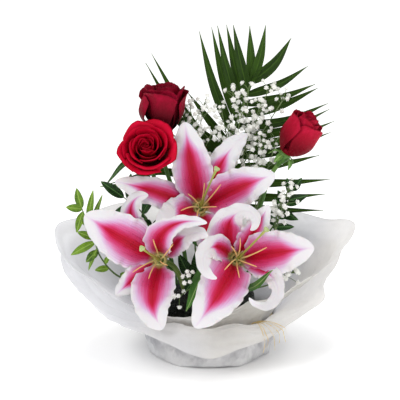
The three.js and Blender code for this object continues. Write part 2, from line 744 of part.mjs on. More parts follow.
// The point of a curve that rises all along at a given height, by halving.
function heightOn(curve) {
  return (z) => {
    let [below, above] = [0, 1];
    for (let k = 0; k < 20; k++) {
      const middle = (below + above) / 2;
      if (curve.getPointAt(middle).z < z) below = middle;
      else above = middle;
    }
    return curve.getPointAt(below);
  };
}
function palmFrond() {
  const rib = new THREE.CatmullRomCurve3(vecs(RIB), false, "centripetal");
  const atHeight = heightOn(rib);
  const parts = [plantedStem(RIB, STEM.frond, 4, 9)];
  for (const [height, tipRow, bow, width] of LEAFLETS) {
    const root = atHeight(height);
    const tip = vec(...tipRow);
    const chord = tip.clone().sub(root);
    const across = vec(-chord.z, 0, chord.x).multiplyScalar(Math.sign(chord.x));
    const middle = root.clone().lerp(tip, 0.5).addScaledVector(across, bow);
    const fold = { outline: LEAFLET, fold: 0.3, thick: 1.5 };
    parts.push(leaf([root, middle, tip], width, vec(0, -1, 0), fold));
  }
  return join(parts);
}
node("palm_frond", palmFrond(), COLOUR.palm);

// Leafy sprigs
// A thin stem whose leaves leave it at a steady spacing, each turned on round it by an angle. The
// left one's leaves are laid out one by one instead.
const SIDE_LEAVES = [
  // height of the root on the stem, tip and width
  [185.5, [-157, -30, 210], 10],
  [184, [-170, -31, 187], 9.5],
  [181, [-158, -34, 157], 9],
  [166, [-138.5, -20, 205], 8],
  [160, [-128, -15, 198], 6],
  [150, [-157, -35, 158], 9],
  [145, [-165, -37, 130], 10],
  [134, [-147, -40, 122], 10],
  [166, [-150, -37, 176], 9],
  [156, [-146, -39, 167], 7],
  [112, [-137, -37, 111], 8],
];
function leafySprig(spec) {
  const { route, from, count = 0, leafLength, leafWidth, turn, seed, spread } = spec;
  const curve = new THREE.CatmullRomCurve3(vecs(route), false, "centripetal");
  const parts = [plantedStem(route, STEM.sprig, 4, 8)];
  const at = heightOn(curve);
  for (const [height, tipRow, width] of spec.leaves ?? []) {
    const [root, tip, face] = [at(height), vec(...tipRow), vec(-0.2, -0.9, 0.4)];
    const middle = root.clone().lerp(tip, 0.5).addScaledVector(face, 1.5);
    parts.push(leaf([root, middle, tip], width, face));
  }
  const draw = draws(seed ?? 0);
  for (let i = 0; i < count; i++) {
    const share = lerp(from, 0.995, i / (count - 1));
    const root = curve.getPointAt(share);
    const along = curve.getTangentAt(share);
    const side = along.clone().cross(vec(0, -1, 0)).normalize();
    const front = side.clone().cross(along).normalize();
    const a = rad(turn * i + draw(-14, 14));
    const lean = rad(i === count - 1 ? 8 : spread + draw(-8, 8));
    const length = leafLength * draw(0.8, 1.1);
    const out = side.clone().multiplyScalar(Math.cos(a)).addScaledVector(front, 0.7 * Math.sin(a));
    const way = along.clone().multiplyScalar(Math.cos(lean)).addScaledVector(out, Math.sin(lean));
    const face = along.clone().multiplyScalar(0.5).addScaledVector(front, 0.8);
    face.addScaledVector(out, -0.3);
    const middle = root.clone().addScaledVector(way, length * 0.5).addScaledVector(face, 0.8);
    const tip = root.clone().addScaledVector(way, length);
    parts.push(leaf([root, middle, tip], leafWidth, face));
  }
  return join(parts);
}

const SPRIGS = [
  {
    name: "leafy_sprig_left",
    route: [
      [-38, -6, 60],
      [-48, -8, 80],
      [-82, -14, 90],
      [-110, -28, 101],
      [-130, -33, 126],
      [-138, -33, 150],
      [-152, -28, 186],
    ],
    leaves: SIDE_LEAVES,
    colour: COLOUR.leaf,
  },
  {
    name: "leafy_sprig_right",
    route: [
      [36, 12, 60],
      [42, 14, 82],
      [66, 24, 130],
      [88, 12, 168],
      [100, 0, 200],
    ],
    from: 0.62,
    count: 9,
    leafLength: 24,
    leafWidth: 9,
    turn: 137,
    spread: 62,
    seed: 9,
    colour: COLOUR.leaf,
  },
  {
    name: "leafy_stem_inner",
    route: [
      [-44, 8, 58],
      [-49, 9, 80],
      [-64, 4, 136],
      [-80, 0, 170],
      [-104, -2, 192],
    ],
    from: 0.45,
    count: 9,
    leafLength: 36,
    leafWidth: 12,
    turn: 150,
    spread: 58,
    seed: 21,
    colour: COLOUR.darkLeaf,
  },
];
for (const { name, colour, ...spec } of SPRIGS) node(name, leafySprig(spec), colour);

// A short stem of broad leaves, each through three points, fills the gap under the lower lilies.
const LOW_STEM = [
  [-17, -8, 58],
  [-17, -9, 76],
  [-17, -10, 94],
];
const LOW_LEAVES = [
  [[-17, -10, 88], [-28, -9, 102], [-38, -7, 122], 15],
  [[-17, -10, 92], [-15, -12, 110], [-14, -14, 132], 15],
  [[-17, -10, 87], [-3, -11, 98], [9, -12, 112], 14],
  [[-17, -10, 85], [-26, -22, 94], [-34, -33, 99], 12],
  [[-17, -10, 84], [-23, -28, 90], [-30, -45, 86], 14],
];
const lowLeaves = LOW_LEAVES.map(([at, out, tip, width]) =>
  leaf(vecs([at, out, tip]), width, vec(0, -0.8, 0.6)),
);
const lowStem = plantedStem(LOW_STEM, STEM.sprig, 4, 3);
node("leafy_stem_low", join([lowStem, ...lowLeaves]), COLOUR.darkLeaf);

// The gypsophila
// A spray's forks leave the top of its stem for the points given. The end of a fork narrows to
// three twigs, which spread like a tripod, and each twig opens into a floret of five petals.
const FLORET = { radius: 3.5, lobes: 5, golden: 137.508 };
function fork(from, to, index, lean) {
  const along = to.clone().sub(from).normalize();
  const bend = from.clone().lerp(to, 0.5).add(vec(0, 0, 1.5));
  const points = rodRings([from, bend, to], [0.85, 0.8, 0.85], 3).flat();
  const faces = [];
  for (let k = 0; k < 6; k += 3) {
    for (let j = 0; j < 3; j++) {
      const [a, b] = [k + j, k + ((j + 1) % 3)];
      faces.push([a, b, b + 3], [a, b + 3, a + 3]);
    }
  }
  faces.push([0, 2, 1]);
  points.push(to.clone().addScaledVector(along, 0.6));
  for (let j = 0; j < 3; j++) {
    const foot = [6 + j, 6 + ((j + 1) % 3), 9];
    const middle = points[foot[0]].clone().add(points[foot[1]]).multiplyScalar(0.5);
    const way = middle.sub(to).normalize().multiplyScalar(Math.sin(rad(lean)));
    way.addScaledVector(along, Math.cos(rad(lean))).normalize();
    const length = 8.5 + 3 * Math.sin(FLORET.golden * (3 * index + j));
    const size = FLORET.radius * (1 + 0.16 * Math.sin(5 * index + 2 * j));
    addTwig(points, faces, foot, way, length, size);
  }
  return solidOfFaces(points, faces);
}

// Draws one triangle of a surface out into a twig with a floret at its end.
function addTwig(points, faces, foot, way, length, size) {
  const centre = foot.reduce((sum, k) => sum.addScaledVector(points[k], 1 / 3), vec(0, 0, 0));
  const end = centre.clone().addScaledVector(way, length);
  const x = points[foot[0]].clone().sub(centre);
  x.addScaledVector(way, -x.dot(way)).normalize();
  const y = way.clone().cross(x);
  const around = (degrees, r, up) =>
    end.clone().addScaledVector(x, r * Math.cos(rad(degrees)))
      .addScaledVector(y, r * Math.sin(rad(degrees))).addScaledVector(way, up);
  const ring = points.length;
  for (let j = 0; j < 3; j++) points.push(around(120 * j, 0.6, 0));
  for (let j = 0; j < 3; j++) {
    const next = (j + 1) % 3;
    faces.push([foot[j], foot[next], ring + next], [foot[j], ring + next, ring + j]);
  }
  const count = 2 * FLORET.lobes;
  for (let k = 0; k < count; k++) {
    const petal = k % 2 === 0;
    points.push(around(36 * k, size * (petal ? 1 : 0.62), size * (petal ? 0.62 : 0.36)));
  }
  points.push(around(0, 0, size * 0.95));
  const under = (k) => Math.floor((((k % count) * 36 + 78) % 360) / 120);
  for (let k = 0; k < count; k++) {
    const [rim, next] = [ring + 3 + k, ring + 3 + ((k + 1) % count)];
    faces.push([ring + under(k), next, rim], [rim, next, ring + 3 + count]);
    if (under(k) !== under(k + count - 1)) {
      faces.push([ring + under(k + count - 1), ring + under(k), rim]);
    }
  }
}

function spray({ route, forks, lean = 48 }) {
  const curve = new THREE.CatmullRomCurve3(vecs(route), false, "centripetal");
  const parts = [plantedStem(route, STEM.spray, 4, 6)];
  forks.forEach((end, i) => {
    const from = curve.getPointAt(0.985 - (0.2 * (i % 4)) / 4 - 0.02 * i);
    parts.push(fork(from, vec(...end), i, lean));
  });
  return join(parts);
}

const SPRAYS = [
  {
    route: [[-12, 22, 58], [-15, 26, 88], [-22, 40, 190], [-14, 42, 246]],
    forks: [[-24, 40, 292], [-8, 36, 296], [-18, 36, 275], [2, 34, 262]],
  },
  {
    route: [[14, 22, 58], [17, 26, 88], [34, 46, 190], [46, 46, 262]],
    forks: [[27, 42, 310], [46, 38, 316], [70, 38, 314], [88, 38, 302], [60, 34, 294]],
  },
  {
    route: [[8, 13, 58], [10, 16, 86], [20, 40, 170], [26, 42, 228]],
    forks: [[14, 38, 290], [38, 32, 286], [22, 30, 268]],
  },
  {
    route: [[28, 18, 58], [33, 21, 86], [52, 34, 150], [64, 30, 192]],
    forks: [[62, 24, 252], [44, 28, 240], [80, 30, 254], [60, 22, 228]],
  },
  {
    route: [[38, -4, 58], [44, -5, 82], [68, -8, 130], [80, -16, 160]],
    forks: [[92, -16, 204], [82, -22, 184]],
  },
  {
    route: [[-8, -26, 58], [-9, -32, 82], [-16, -48, 94], [-20, -60, 98]],
    forks: [[-24, -70, 110], [-36, -80, 92]],
  },
  {
    route: [[38, -18, 58], [45, -22, 78], [66, -38, 92], [78, -46, 98]],
    forks: [[98, -48, 112]],
  },
];
SPRAYS.forEach((spec, k) => node(`gypsophila_${k + 1}`, spray(spec), COLOUR.gypsophila));

// The foam block, with a plain hole for every stem
function foamSolid() {
  const { foot, shoulder, top, height, bottom } = FOAM;
  const block = turned([[bottom, foot], [height - 10, shoulder], [height, top]], 14);
  return foamHoles.reduce((left, hole) => left.subtract(hole), block);
}
node("foam_block", foamSolid(), COLOUR.foam);

export default group;
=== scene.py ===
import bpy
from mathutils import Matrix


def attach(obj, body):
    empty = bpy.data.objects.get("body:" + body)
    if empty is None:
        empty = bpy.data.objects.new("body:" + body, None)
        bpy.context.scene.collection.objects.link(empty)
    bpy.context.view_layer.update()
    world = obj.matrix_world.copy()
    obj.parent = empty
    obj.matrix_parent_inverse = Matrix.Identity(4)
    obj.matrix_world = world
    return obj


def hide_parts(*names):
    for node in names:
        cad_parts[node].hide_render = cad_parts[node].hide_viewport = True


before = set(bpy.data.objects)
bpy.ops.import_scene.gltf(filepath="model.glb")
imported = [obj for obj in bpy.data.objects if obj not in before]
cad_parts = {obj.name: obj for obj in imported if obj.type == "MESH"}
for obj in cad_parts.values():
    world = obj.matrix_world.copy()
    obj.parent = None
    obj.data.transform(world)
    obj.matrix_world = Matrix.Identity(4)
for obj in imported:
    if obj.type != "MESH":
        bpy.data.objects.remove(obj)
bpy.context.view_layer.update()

import math
from functools import partialmethod

import bpy
import numpy as np
from mathutils import Vector

# Camera
# A long lens stands 1.7 m off and 15 degrees above the middle of the flowers, and the bouquet
# stands a little to the right of the frame's middle.
CAMERA_OFF, CAMERA_RISE = 1.7, math.radians(15)
lens = bpy.data.cameras.new("studio_camera")
lens.lens, lens.sensor_width = 127.5, 36
camera = bpy.data.objects.new("studio_camera", lens)
bpy.context.collection.objects.link(camera)
aim = Vector((-0.012, 0, 0.1876))
camera.location = aim + CAMERA_OFF * Vector((0, -math.cos(CAMERA_RISE), math.sin(CAMERA_RISE)))
camera.rotation_euler = (aim - camera.location).to_track_quat("-Z", "Y").to_euler()
bpy.context.scene.camera = camera


# Studio
# The bouquet stands on plain white paper in soft daylight. Large diffusers light it from the
# front left and from above, and a weak one lifts the right side.
def tint(code):
    """The linear colour of six hexadecimal digits of screen colour: each share plus 0.055, over
    1.055, to the power 2.4, or a straight line below 4 percent."""
    screen = np.array([int(code[k : k + 2], 16) for k in (0, 2, 4)]) / 255
    foot = screen / 12.92
    return (*np.where(screen < 0.04045, foot, ((screen + 0.055) / 1.055) ** 2.4).tolist(), 1.0)


class Reading:
    """A shader socket that takes part in Python arithmetic: each operator adds its Math node."""

    def __init__(self, finish, socket):
        self.finish, self.socket = finish, socket

    def math(self, operation, *others):
        return self.finish.node("ShaderNodeMath", {"operation": operation}, [self, *others])

    def __rsub__(self, other):
        return self.finish.node("ShaderNodeMath", {"operation": "SUBTRACT"}, [other, self])

    __add__ = __radd__ = partialmethod(math, "ADD")
    __sub__ = partialmethod(math, "SUBTRACT")
    __mul__ = partialmethod(math, "MULTIPLY")
    __truediv__ = partialmethod(math, "DIVIDE")
    __pow__ = partialmethod(math, "POWER")
    __abs__ = partialmethod(math, "ABSOLUTE")
    sine = partialmethod(math, "SINE")

    def ease(self, low, high, to_low=0.0, to_high=1.0):
        """Runs smoothly from to_low, at low and below it, to to_high, at high and above it."""
        return self.finish.node(
            "ShaderNodeMapRange",
            {"interpolation_type": "SMOOTHSTEP"},
            {"Value": self, "From Min": low, "From Max": high, "To Min": to_low, "To Max": to_high},
        )


class Finish:
    """A procedural material round one Principled shader."""

    def __init__(self, name, constants):
        self.material = bpy.data.materials.new(name)
        self.material.use_nodes = True
        self.nodes, self.links = self.material.node_tree.nodes, self.material.node_tree.links
        self.shader = self.nodes["Principled BSDF"]
        for socket, value in constants.items():
            self.shader.inputs[socket].default_value = value

    def node(self, kind, settings, inputs, output=0):
        """Adds a node: its settings first, among them a ramp's stops, then its sockets."""
        node = self.nodes.new(kind)
        for key, value in settings.items():
            if key == "stops":
                while len(node.color_ramp.elements) < len(value):
                    node.color_ramp.elements.new(0.5)
                for stop, (position, colour) in zip(node.color_ramp.elements, value):
                    stop.position, stop.color = position, tint(colour)
            else:
                setattr(node, key, value)
        pairs = inputs.items() if isinstance(inputs, dict) else enumerate(inputs)
        for socket, value in pairs:
            if isinstance(value, Reading):
                self.links.new(value.socket, node.inputs[socket])
            else:
                node.inputs[socket].default_value = value
        return Reading(self, node.outputs[output])

    def place(self, stretch=(1, 1, 1)):
        """The point on the piece, in metres, stretched along the axes."""
        point = self.node("ShaderNodeTexCoord", {}, {}, "Object")
        return self.node("ShaderNodeMapping", {}, {"Vector": point, "Scale": stretch})

    def mark(self, name):
        """The three numbers of a mark that the mesh carries at each point."""
        vector = self.node("ShaderNodeAttribute", {"attribute_name": name}, {}, "Vector")
        parts = self.node("ShaderNodeSeparateXYZ", {}, [vector]).socket.node.outputs
        return [Reading(self, part) for part in parts]

    def vector(self, x, y, z):
        return self.node("ShaderNodeCombineXYZ", {}, [x, y, z])

    def noise(self, vector, scale, detail=3.0, roughness=0.5):
        sockets = {"Vector": vector, "Scale": scale, "Detail": detail, "Roughness": roughness}
        return self.node("ShaderNodeTexNoise", {}, sockets)

    def cloud(self, x, y, z, detail=3.0, roughness=0.5):
        """A noise on three readings."""
        return self.noise(self.vector(x, y, z), 1.0, detail, roughness)

    def cells(self, vector, scale, **settings):
        """The distance to the nearest of many scattered points."""
        return self.node("ShaderNodeTexVoronoi", settings, {"Vector": vector, "Scale": scale})

    def mix(self, factor, first, second):
        """A blend of two colours, each a reading or six hexadecimal digits."""
        first, second = (tint(c) if isinstance(c, str) else c for c in (first, second))
        sockets = {0: factor, 6: first, 7: second}
        return self.node("ShaderNodeMix", {"data_type": "RGBA"}, sockets, 2)

    def bump(self, height, distance, normal=None):
        sockets = {"Height": height, "Distance": distance, "Strength": 1.0}
        if normal:
            sockets["Normal"] = normal
        return self.node("ShaderNodeBump", {}, sockets)

    def wear(self, colour, roughness, normal):
        """Links readings to the shader's own sockets."""
        sockets = {"Base Color": colour, "Roughness": roughness, "Normal": normal}
        for name, reading in sockets.items():
            self.links.new(reading.socket, self.shader.inputs[name])

    def let_through(self, factor, colour):
        """Mixes in light that passes through from behind, in the colour."""
        through = self.node("ShaderNodeBsdfTranslucent", {}, {"Color": tint(colour)})
        own = Reading(self, self.shader.outputs["BSDF"])
        surface = self.node("ShaderNodeMixShader", {}, {0: factor, 1: own, 2: through})
        self.links.new(surface.socket, self.nodes["Material Output"].inputs["Surface"])


PAPER_REACH, DAYLIGHT = 9.0, 0.46
# The paper's own light grows away from the middle: from and to, in metres, and how much.
GLOW = [(0.07, 0.12, 0.28), (0.12, 0.2, 0.15), (0.2, 1.6, 0.2)]
paper = Finish(
    "white_paper", {"Roughness": 0.9, "Specular IOR Level": 0.1, "Emission Strength": 1.0}
)
away = paper.node("ShaderNodeVectorMath", {"operation": "LENGTH"}, [paper.place()], 1)
glow = sum(away.ease(near, far, 0.0, more) for near, far, more in GLOW)
grain = paper.mix(paper.noise(paper.place(), 6.0, 2.0), "f6f6f6", "fafafa")
paper.links.new(grain.socket, paper.shader.inputs["Base Color"])
paper.links.new(paper.vector(glow, glow, glow).socket, paper.shader.inputs["Emission Color"])
floor_mesh = bpy.data.meshes.new("studio_floor")
corners = [(x * PAPER_REACH, y * PAPER_REACH, 0) for x, y in ((-1, -1), (1, -1), (1, 1), (-1, 1))]
floor_mesh.from_pydata(corners, [], [(0, 1, 2, 3)])
floor_mesh.materials.append(paper.material)
studio_floor = bpy.data.objects.new("studio_floor", floor_mesh)
bpy.context.collection.objects.link(studio_floor)

world = bpy.data.worlds.new("studio_light")
bpy.context.scene.world = world
world.use_nodes = True
world.node_tree.nodes["Background"].inputs["Color"].default_value = (1, 1, 1, 1)
world.node_tree.nodes["Background"].inputs["Strength"].default_value = DAYLIGHT
for name, place, size, power in (
    ("diffuser_left", (-1.3, -1.5, 1.5), 0.9, 18),
    ("diffuser_above", (0.1, 0.1, 2.2), 1.2, 13),
    ("diffuser_right", (1.6, -1.0, 0.8), 1.2, 10),
):
    light = bpy.data.lights.new(name, "AREA")
    light.energy, light.size = power, size
    lamp = bpy.data.objects.new(name, light)
    bpy.context.collection.objects.link(lamp)
    lamp.location = place
    to_flowers = Vector((0, 0, 0.18)) - lamp.location
    lamp.rotation_euler = to_flowers.to_track_quat("-Z", "Y").to_euler()
bpy.context.scene.view_settings.view_transform = "Standard"


# Wrap sheets
# Two squares of thin white non-woven fabric lie under the bowl, rise round it, are gathered at
# its rim and spread out as a collar. Their corners stand out, and the outer one droops in front.
def unit(vectors):
    """Each vector divided by its length."""
    return vectors / np.linalg.norm(vectors, axis=-1, keepdims=True)


def stacked(x, y, z):
    """Three arrays whose shapes agree, as the three numbers of each point."""
    return np.stack(np.broadcast_arrays(x, y, z), -1)


def rising(x, low, span):
    """0 up to low, then straight up to 1 over the span."""
    return np.clip((x - low) / span, 0, 1)


def folded(x):
    """A wave of sharp valleys and round folds: 1 - 2 |sine|."""
    return 1 - 2 * np.abs(np.sin(x))


def bell(x, width):
    """1 at 0, and down to a third at the width on either side: e to the minus square."""
    return np.exp(-((x / width) ** 2))


class Form:
    """Part of a piece: points in millimetres, faces with four and with three corners, and two
    marks a point: place, which is the shares along and across and the side, and size, which may
    hold a stripe's share, the half width and the form's number. A closed form whose volume, the
    sum of its faces' cones to the origin, is negative is turned out."""

    def __init__(self, points, quads, triangles, place=(0, 0, 0), size=(0, 0, 0)):
        self.points = points.reshape(-1, 3)
        self.quads = np.reshape(quads, (-1, 4)).astype(int)
        self.triangles = np.reshape(triangles, (-1, 3)).astype(int)
        self.place = np.broadcast_to(place, self.points.shape)
        self.size = np.broadcast_to(size, self.points.shape)
        cut = [self.quads[:, [0, 1, 2]], self.quads[:, [0, 2, 3]], self.triangles]
        a, b, c = np.moveaxis(self.points[np.vstack(cut)], 1, 0)
        if np.sum(a * np.cross(b, c)) < 0:
            self.quads, self.triangles = self.quads[:, ::-1], self.triangles[:, ::-1]


def make_piece(name, forms, finish, slot, *nodes):
    """Joins forms into one smooth object, which rides on the root and stands for CAD nodes."""
    starts = np.cumsum([0] + [len(form.points) for form in forms])
    quads = np.vstack([form.quads + k for form, k in zip(forms, starts)])
    triangles = np.vstack([form.triangles + k for form, k in zip(forms, starts)])
    corners = np.concatenate([quads.ravel(), triangles.ravel()])
    firsts = [4 * np.arange(len(quads)), 4 * len(quads) + 3 * np.arange(len(triangles))]
    mesh = bpy.data.meshes.new(name)
    mesh.vertices.add(starts[-1])
    points = np.vstack([form.points for form in forms]) * 0.001
    mesh.vertices.foreach_set("co", points.ravel())
    mesh.loops.add(len(corners))
    mesh.loops.foreach_set("vertex_index", corners)
    mesh.polygons.add(len(quads) + len(triangles))
    mesh.polygons.foreach_set("loop_start", np.concatenate(firsts))
    mesh.update(calc_edges=True)
    mesh.shade_smooth()
    for mark in ("place", "size"):
        rows = np.vstack([getattr(form, mark) for form in forms]).astype(np.float32)
        data = mesh.attributes.new(mark, "FLOAT_VECTOR", "POINT").data
        data.foreach_set("vector", rows.ravel())
    mesh.materials.append(finish.material)
    piece = bpy.data.objects.new(name, mesh)
    bpy.context.collection.objects.link(piece)
    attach(piece, "root")
    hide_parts(*nodes)
    return piece


FOOT, NECK = 0.2, 0.4  # the shares of a sheet's half width at the bag's foot and at its neck
NECK_RADIUS, NECK_HEIGHT = 72.6, 45
SHEET_RINGS, SHEET_COLUMNS, CLOTH_THICK = 92, 300, 0.45
OUTER_STEP, OUTER_FLOOR, INNER_FLOOR = 4.9, 0.25, 1.4
INNER_EDGE = [  # angle, radius, height and droop of the sheet's edge
    [0, 177, 154, 0], [20, 150, 150, 0], [44, 137, 150, 0], [66, 122, 152, 0], [90, 116, 152, 0],
    [116, 126, 152, 0], [140, 148, 158, 0], [164, 166, 153, 0], [179, 188, 151, 0],
    [190, 178, 125, 0], [203, 152, 104, 0], [218, 130, 86, 0], [234, 113, 72, 2], [254, 98, 71, 3],
    [274, 94, 75, 3], [294, 98, 86, 2], [314, 110, 91, 0], [332, 124, 103, 0], [347, 146, 119, 0],
]
OUTER_EDGE = [
    [0, 160, 124, 0], [22, 142, 126, 0], [46, 134, 127, 0], [68, 124, 126, 0], [90, 120, 126, 0],
    [112, 124, 127, 0], [136, 136, 134, 0], [160, 158, 128, 0], [180, 182, 120, 0],
    [194, 171, 98, 0], [209, 150, 72, 2], [226, 130, 56, 10], [244, 116, 44, 20],
    [258, 113, 33, 30], [271, 112, 28, 34], [288, 112, 38, 28], [304, 117, 46, 20],
    [318, 118, 54, 10], [328, 128, 64, 5], [336, 146, 79, 2], [346, 141, 94, 0],
]


def edge_at(rows, degrees):
    """Radius, height and droop at any angle: between two rows a cubic whose end slopes are those
    of the lines through the rows' neighbours."""
    table, turn = np.array(rows, float), np.array([360.0, 0, 0, 0])
    table = np.vstack([table[-2:] - turn, table, table[:3] + turn])
    slopes = (table[2:, 1:] - table[:-2, 1:]) / (table[2:, :1] - table[:-2, :1])
    degrees = np.asarray(degrees, float) % 360
    k = np.searchsorted(table[:, 0], degrees, side="right") - 1
    span = (table[k + 1, 0] - table[k, 0])[..., None]
    s = (degrees[..., None] - table[k, :1]) / span
    p, q, u, w = table[k, 1:], table[k + 1, 1:], slopes[k - 1] * span, slopes[k] * span
    curve = p * (1 + 2 * s) * (1 - s) ** 2 + u * s * (1 - s) ** 2 + q * s * s * (3 - 2 * s)
    return np.moveaxis(curve + w * s * s * (s - 1), -1, 0)


def wrap_surface(rows, step, floor, degrees, v):
    """A sheet's points: v from 0 at the middle of the base, straight out to its foot, up the side
    with a slight belly to the neck, then along a cubic Bezier curve to the edge at 1, with nine
    waves round it and a fine gather that is strongest between the base and the collar."""
    neck, a = NECK_RADIUS + step, np.radians(degrees)
    up, s = rising(v, FOOT, NECK - FOOT), rising(v, NECK, 1 - NECK)
    edge, height, droop = edge_at(rows, degrees)
    dr, dz = edge - neck, height - NECK_HEIGHT
    reach = np.hypot(dr, dz)
    w0, w1, w2, w3 = (1 - s) ** 3, 3 * s * (1 - s) ** 2, 3 * s * s * (1 - s), s**3
    collar_r = w0 * neck + w1 * (neck + 0.14 * reach) + w2 * (edge - 0.34 * dr) + w3 * edge
    collar_z = w0 * NECK_HEIGHT + w1 * (NECK_HEIGHT + 0.3 * reach + 0.2 * droop)
    collar_z = collar_z + w2 * (height - 0.3 * dz + droop) + w3 * height
    collar_z = collar_z + 2.4 * np.sin(9 * a + 0.6) * np.sin(np.pi * s)
    side_r = neck - 3 * (1 - up) + 2.6 * np.sin(np.pi * up)
    base_r = np.minimum(v, FOOT) / FOOT * (neck - 3)
    r = np.where(v <= FOOT, base_r, np.where(v <= NECK, side_r, collar_r))
    z = np.where(v <= NECK, floor + (NECK_HEIGHT - floor) * up, collar_z)
    r = r + 0.4 * np.sin(18 * a) * np.sin(np.pi * rising(v, FOOT, 0.5))
    return stacked(r * np.cos(a), r * np.sin(a), z)


def creases(points, seed, waves, low, high):
    """Crumples: the mean of folded plane waves of random ways and of lengths from low to high
    millimetres, from -1 in a crease to 1 on a fold."""
    draw = np.random.default_rng(seed)
    ways = unit(draw.normal(size=(waves, 3))) * np.pi / draw.uniform(low, high, (waves, 1))
    return np.mean(folded(points @ ways.T + draw.uniform(0, 6, waves)), axis=-1)


def wrap_sheet(rows, step, floor, seed, stand):
    """A closed shell round the sheet's surface, moved along its normal by pleats, which are folded
    waves of 17, 29 and 47 to the turn, deepest at the neck and stood out by stand; by soft waves
    and long folds towards the edge; by crumples, deepest in the side of the bag; and by a hem of
    seven blunt corners round its foot."""
    degrees = np.arange(SHEET_COLUMNS)[None, :] * 360 / SHEET_COLUMNS
    v = np.concatenate([[0.07, 0.14, 0.185], np.linspace(FOOT, 1, SHEET_RINGS - 3)])[:, None]
    middle = wrap_surface(rows, step, floor, degrees + 0 * v, v + 0 * degrees)
    a = np.radians(degrees) + 0.06 * np.sin(3 * np.radians(degrees) + 1)
    a = a + 0.035 * np.sin(8 * a + 2)
    s = rising(v, NECK, 1 - NECK)
    pleats = 0.5 * folded(8.5 * a) + 0.3 * folded(14.5 * a + 1)
    pleats = pleats + 0.2 * np.sin(47 * a + 2 * np.sin(3 * a)) + stand
    depth = 1.9 * bell(v - NECK, 0.09) + 0.9 * bell(v - 0.5, 0.2)
    soft = np.sin(5 * a + 2 + seed) + 0.7 * np.sin(11 * a + 1 + 3 * s)
    soft = soft + 0.5 * np.sin(19 * a - 4 * s)
    crumple = creases(middle, 7 + seed, 5, 16, 40) + 0.6 * creases(middle, 17 + seed, 6, 7, 14)
    phase = s + 0.7 * (1 - np.abs(np.cos(a))) + 0.06 * np.sin(5 * a + seed)
    folds = folded(np.pi * 5.5 * phase + seed) + 0.5 * folded(29 * phase + 3 * a)
    folds = folds * s * (0.6 + 0.4 * np.sin(4 * a + 2 * seed))
    crumpled = 7 * bell(v - 0.29, 0.075) + 1.5 * s + 0.25
    move = pleats * depth + 1.3 * s**1.5 * soft + 1.2 * folds + crumpled * crumple
    move = rising(v, 0.17, 0.05) * move
    hem = 1.7 * bell(v - 0.215, 0.04) * rising(v, 0.185, 0.015)
    move = move + hem * (0.4 - 2 * np.abs(np.sin(3.5 * a + 0.9)) + 0.5 * np.sin(2 * a))

    def outward(points, flat_rings):
        around = np.roll(points, -1, 1) - np.roll(points, 1, 1)
        out = unit(np.cross(around, np.gradient(points, axis=0)))
        out[:flat_rings] = (0, 0, -1)
        return out

    middle = middle + outward(middle, 3) * move[..., None]
    half = outward(middle, 4) * CLOTH_THICK / 2
    poles = [(0, 0, floor + CLOTH_THICK / 2), (0, 0, floor - CLOTH_THICK / 2)]
    points = np.vstack([(middle - half).reshape(-1, 3), (middle + half).reshape(-1, 3), poles])
    count = SHEET_RINGS * SHEET_COLUMNS
    at = np.arange(count).reshape(SHEET_RINGS, SHEET_COLUMNS)
    after = np.roll(at, -1, 1)
    inside = np.stack([at[:-1], at[1:], after[1:], after[:-1]], -1).reshape(-1, 4)
    rim = np.stack([after[-1], at[-1], at[-1] + count, after[-1] + count], -1)
    pole = np.full(SHEET_COLUMNS, 2 * count)
    tops = np.stack([pole, at[0], after[0]], -1)
    bottoms = np.stack([pole + 1, after[0] + count, at[0] + count], -1)
    share = stacked(v, degrees / 360, 0).reshape(-1, 3)
    quads = np.vstack([inside, (inside + count)[:, ::-1], rim])
    share = np.vstack([share, share, np.zeros((2, 3))])
    return Form(points, quads, np.vstack([tops, bottoms]), share)


fabric = Finish("white_nonwoven", {"Sheen Weight": 0.15, "Sheen Roughness": 0.4, "IOR": 1.35})
fibres = fabric.noise(fabric.place(), 1500, 5, 0.7)
clouds = fabric.noise(fabric.place(), 30, 3, 0.5)
folds = fabric.noise(fabric.place((1, 1, 0.5)), 38, 3, 0.55)
reach = fabric.mark("place")[0]
bag, low = reach.ease(0.37, 0.46, 1.0, 0.0), reach.ease(0.5, 0.85, 1.0, 0.0)
warm = fabric.noise(fabric.place((1, 1, 0.3)), 7, 1, 0.4).ease(0.42, 0.62)
cloth_tone = fabric.mix(warm, "f3f3f6", "f5f1e8")
facets = fabric.cells(fabric.place((1, 1, 0.6)), 55.0, feature="SMOOTH_F1")
crushed = fabric.noise(fabric.place((1, 1, 0.7)), 90, 4, 0.6)
# Painted light and shade on the bag: a darker grey where the collar shades it and the dark bowl
# shows through, painted paler on the crumples, on the cells' edges and towards its foot.
hem = reach.ease(0.22, 0.31, 0.45, 0.0)
crease_light_and_shade = crushed.ease(0.35, 0.65) * 0.45 + facets.ease(0.15, 0.75) * 0.45 + hem
bag_painted_shade = fabric.mix(crease_light_and_shade, "a3a3aa", "eeeef0")
relief = fabric.bump(facets * (bag * 0.8 + 0.2), 0.006, fabric.bump(folds, 0.003))
# On the bag the painted shade takes over from the cloth's own tone.
fabric.wear(
    fabric.mix(bag * 0.85, cloth_tone, bag_painted_shade),
    fibres.ease(0.3, 0.7, 0.7, 0.95),
    fabric.bump(fibres, 0.00012, relief),
)
cover = low * 0.26 + clouds.ease(0.3, 0.7, 0.48, 0.62) + (fibres - 0.5) * 0.3
fabric.links.new(cover.socket, fabric.shader.inputs["Alpha"])
fabric.let_through(bag.ease(0.0, 1.0, 0.5, 0.1), "f2f2f4")
for name, rows, step, floor, seed, stand, rests in (
    ("wrap_outer_sheet", OUTER_EDGE, OUTER_STEP, OUTER_FLOOR, 0, 0.9, "wrap_inner_sheet"),
    ("wrap_inner_sheet", INNER_EDGE, 0, INNER_FLOOR, 1, 0, "floral_bowl"),
):
    form = wrap_sheet(rows, step, floor, seed, stand)
    cloth = make_piece(name + "_cloth", [form], fabric, "wrap_fabric", name)


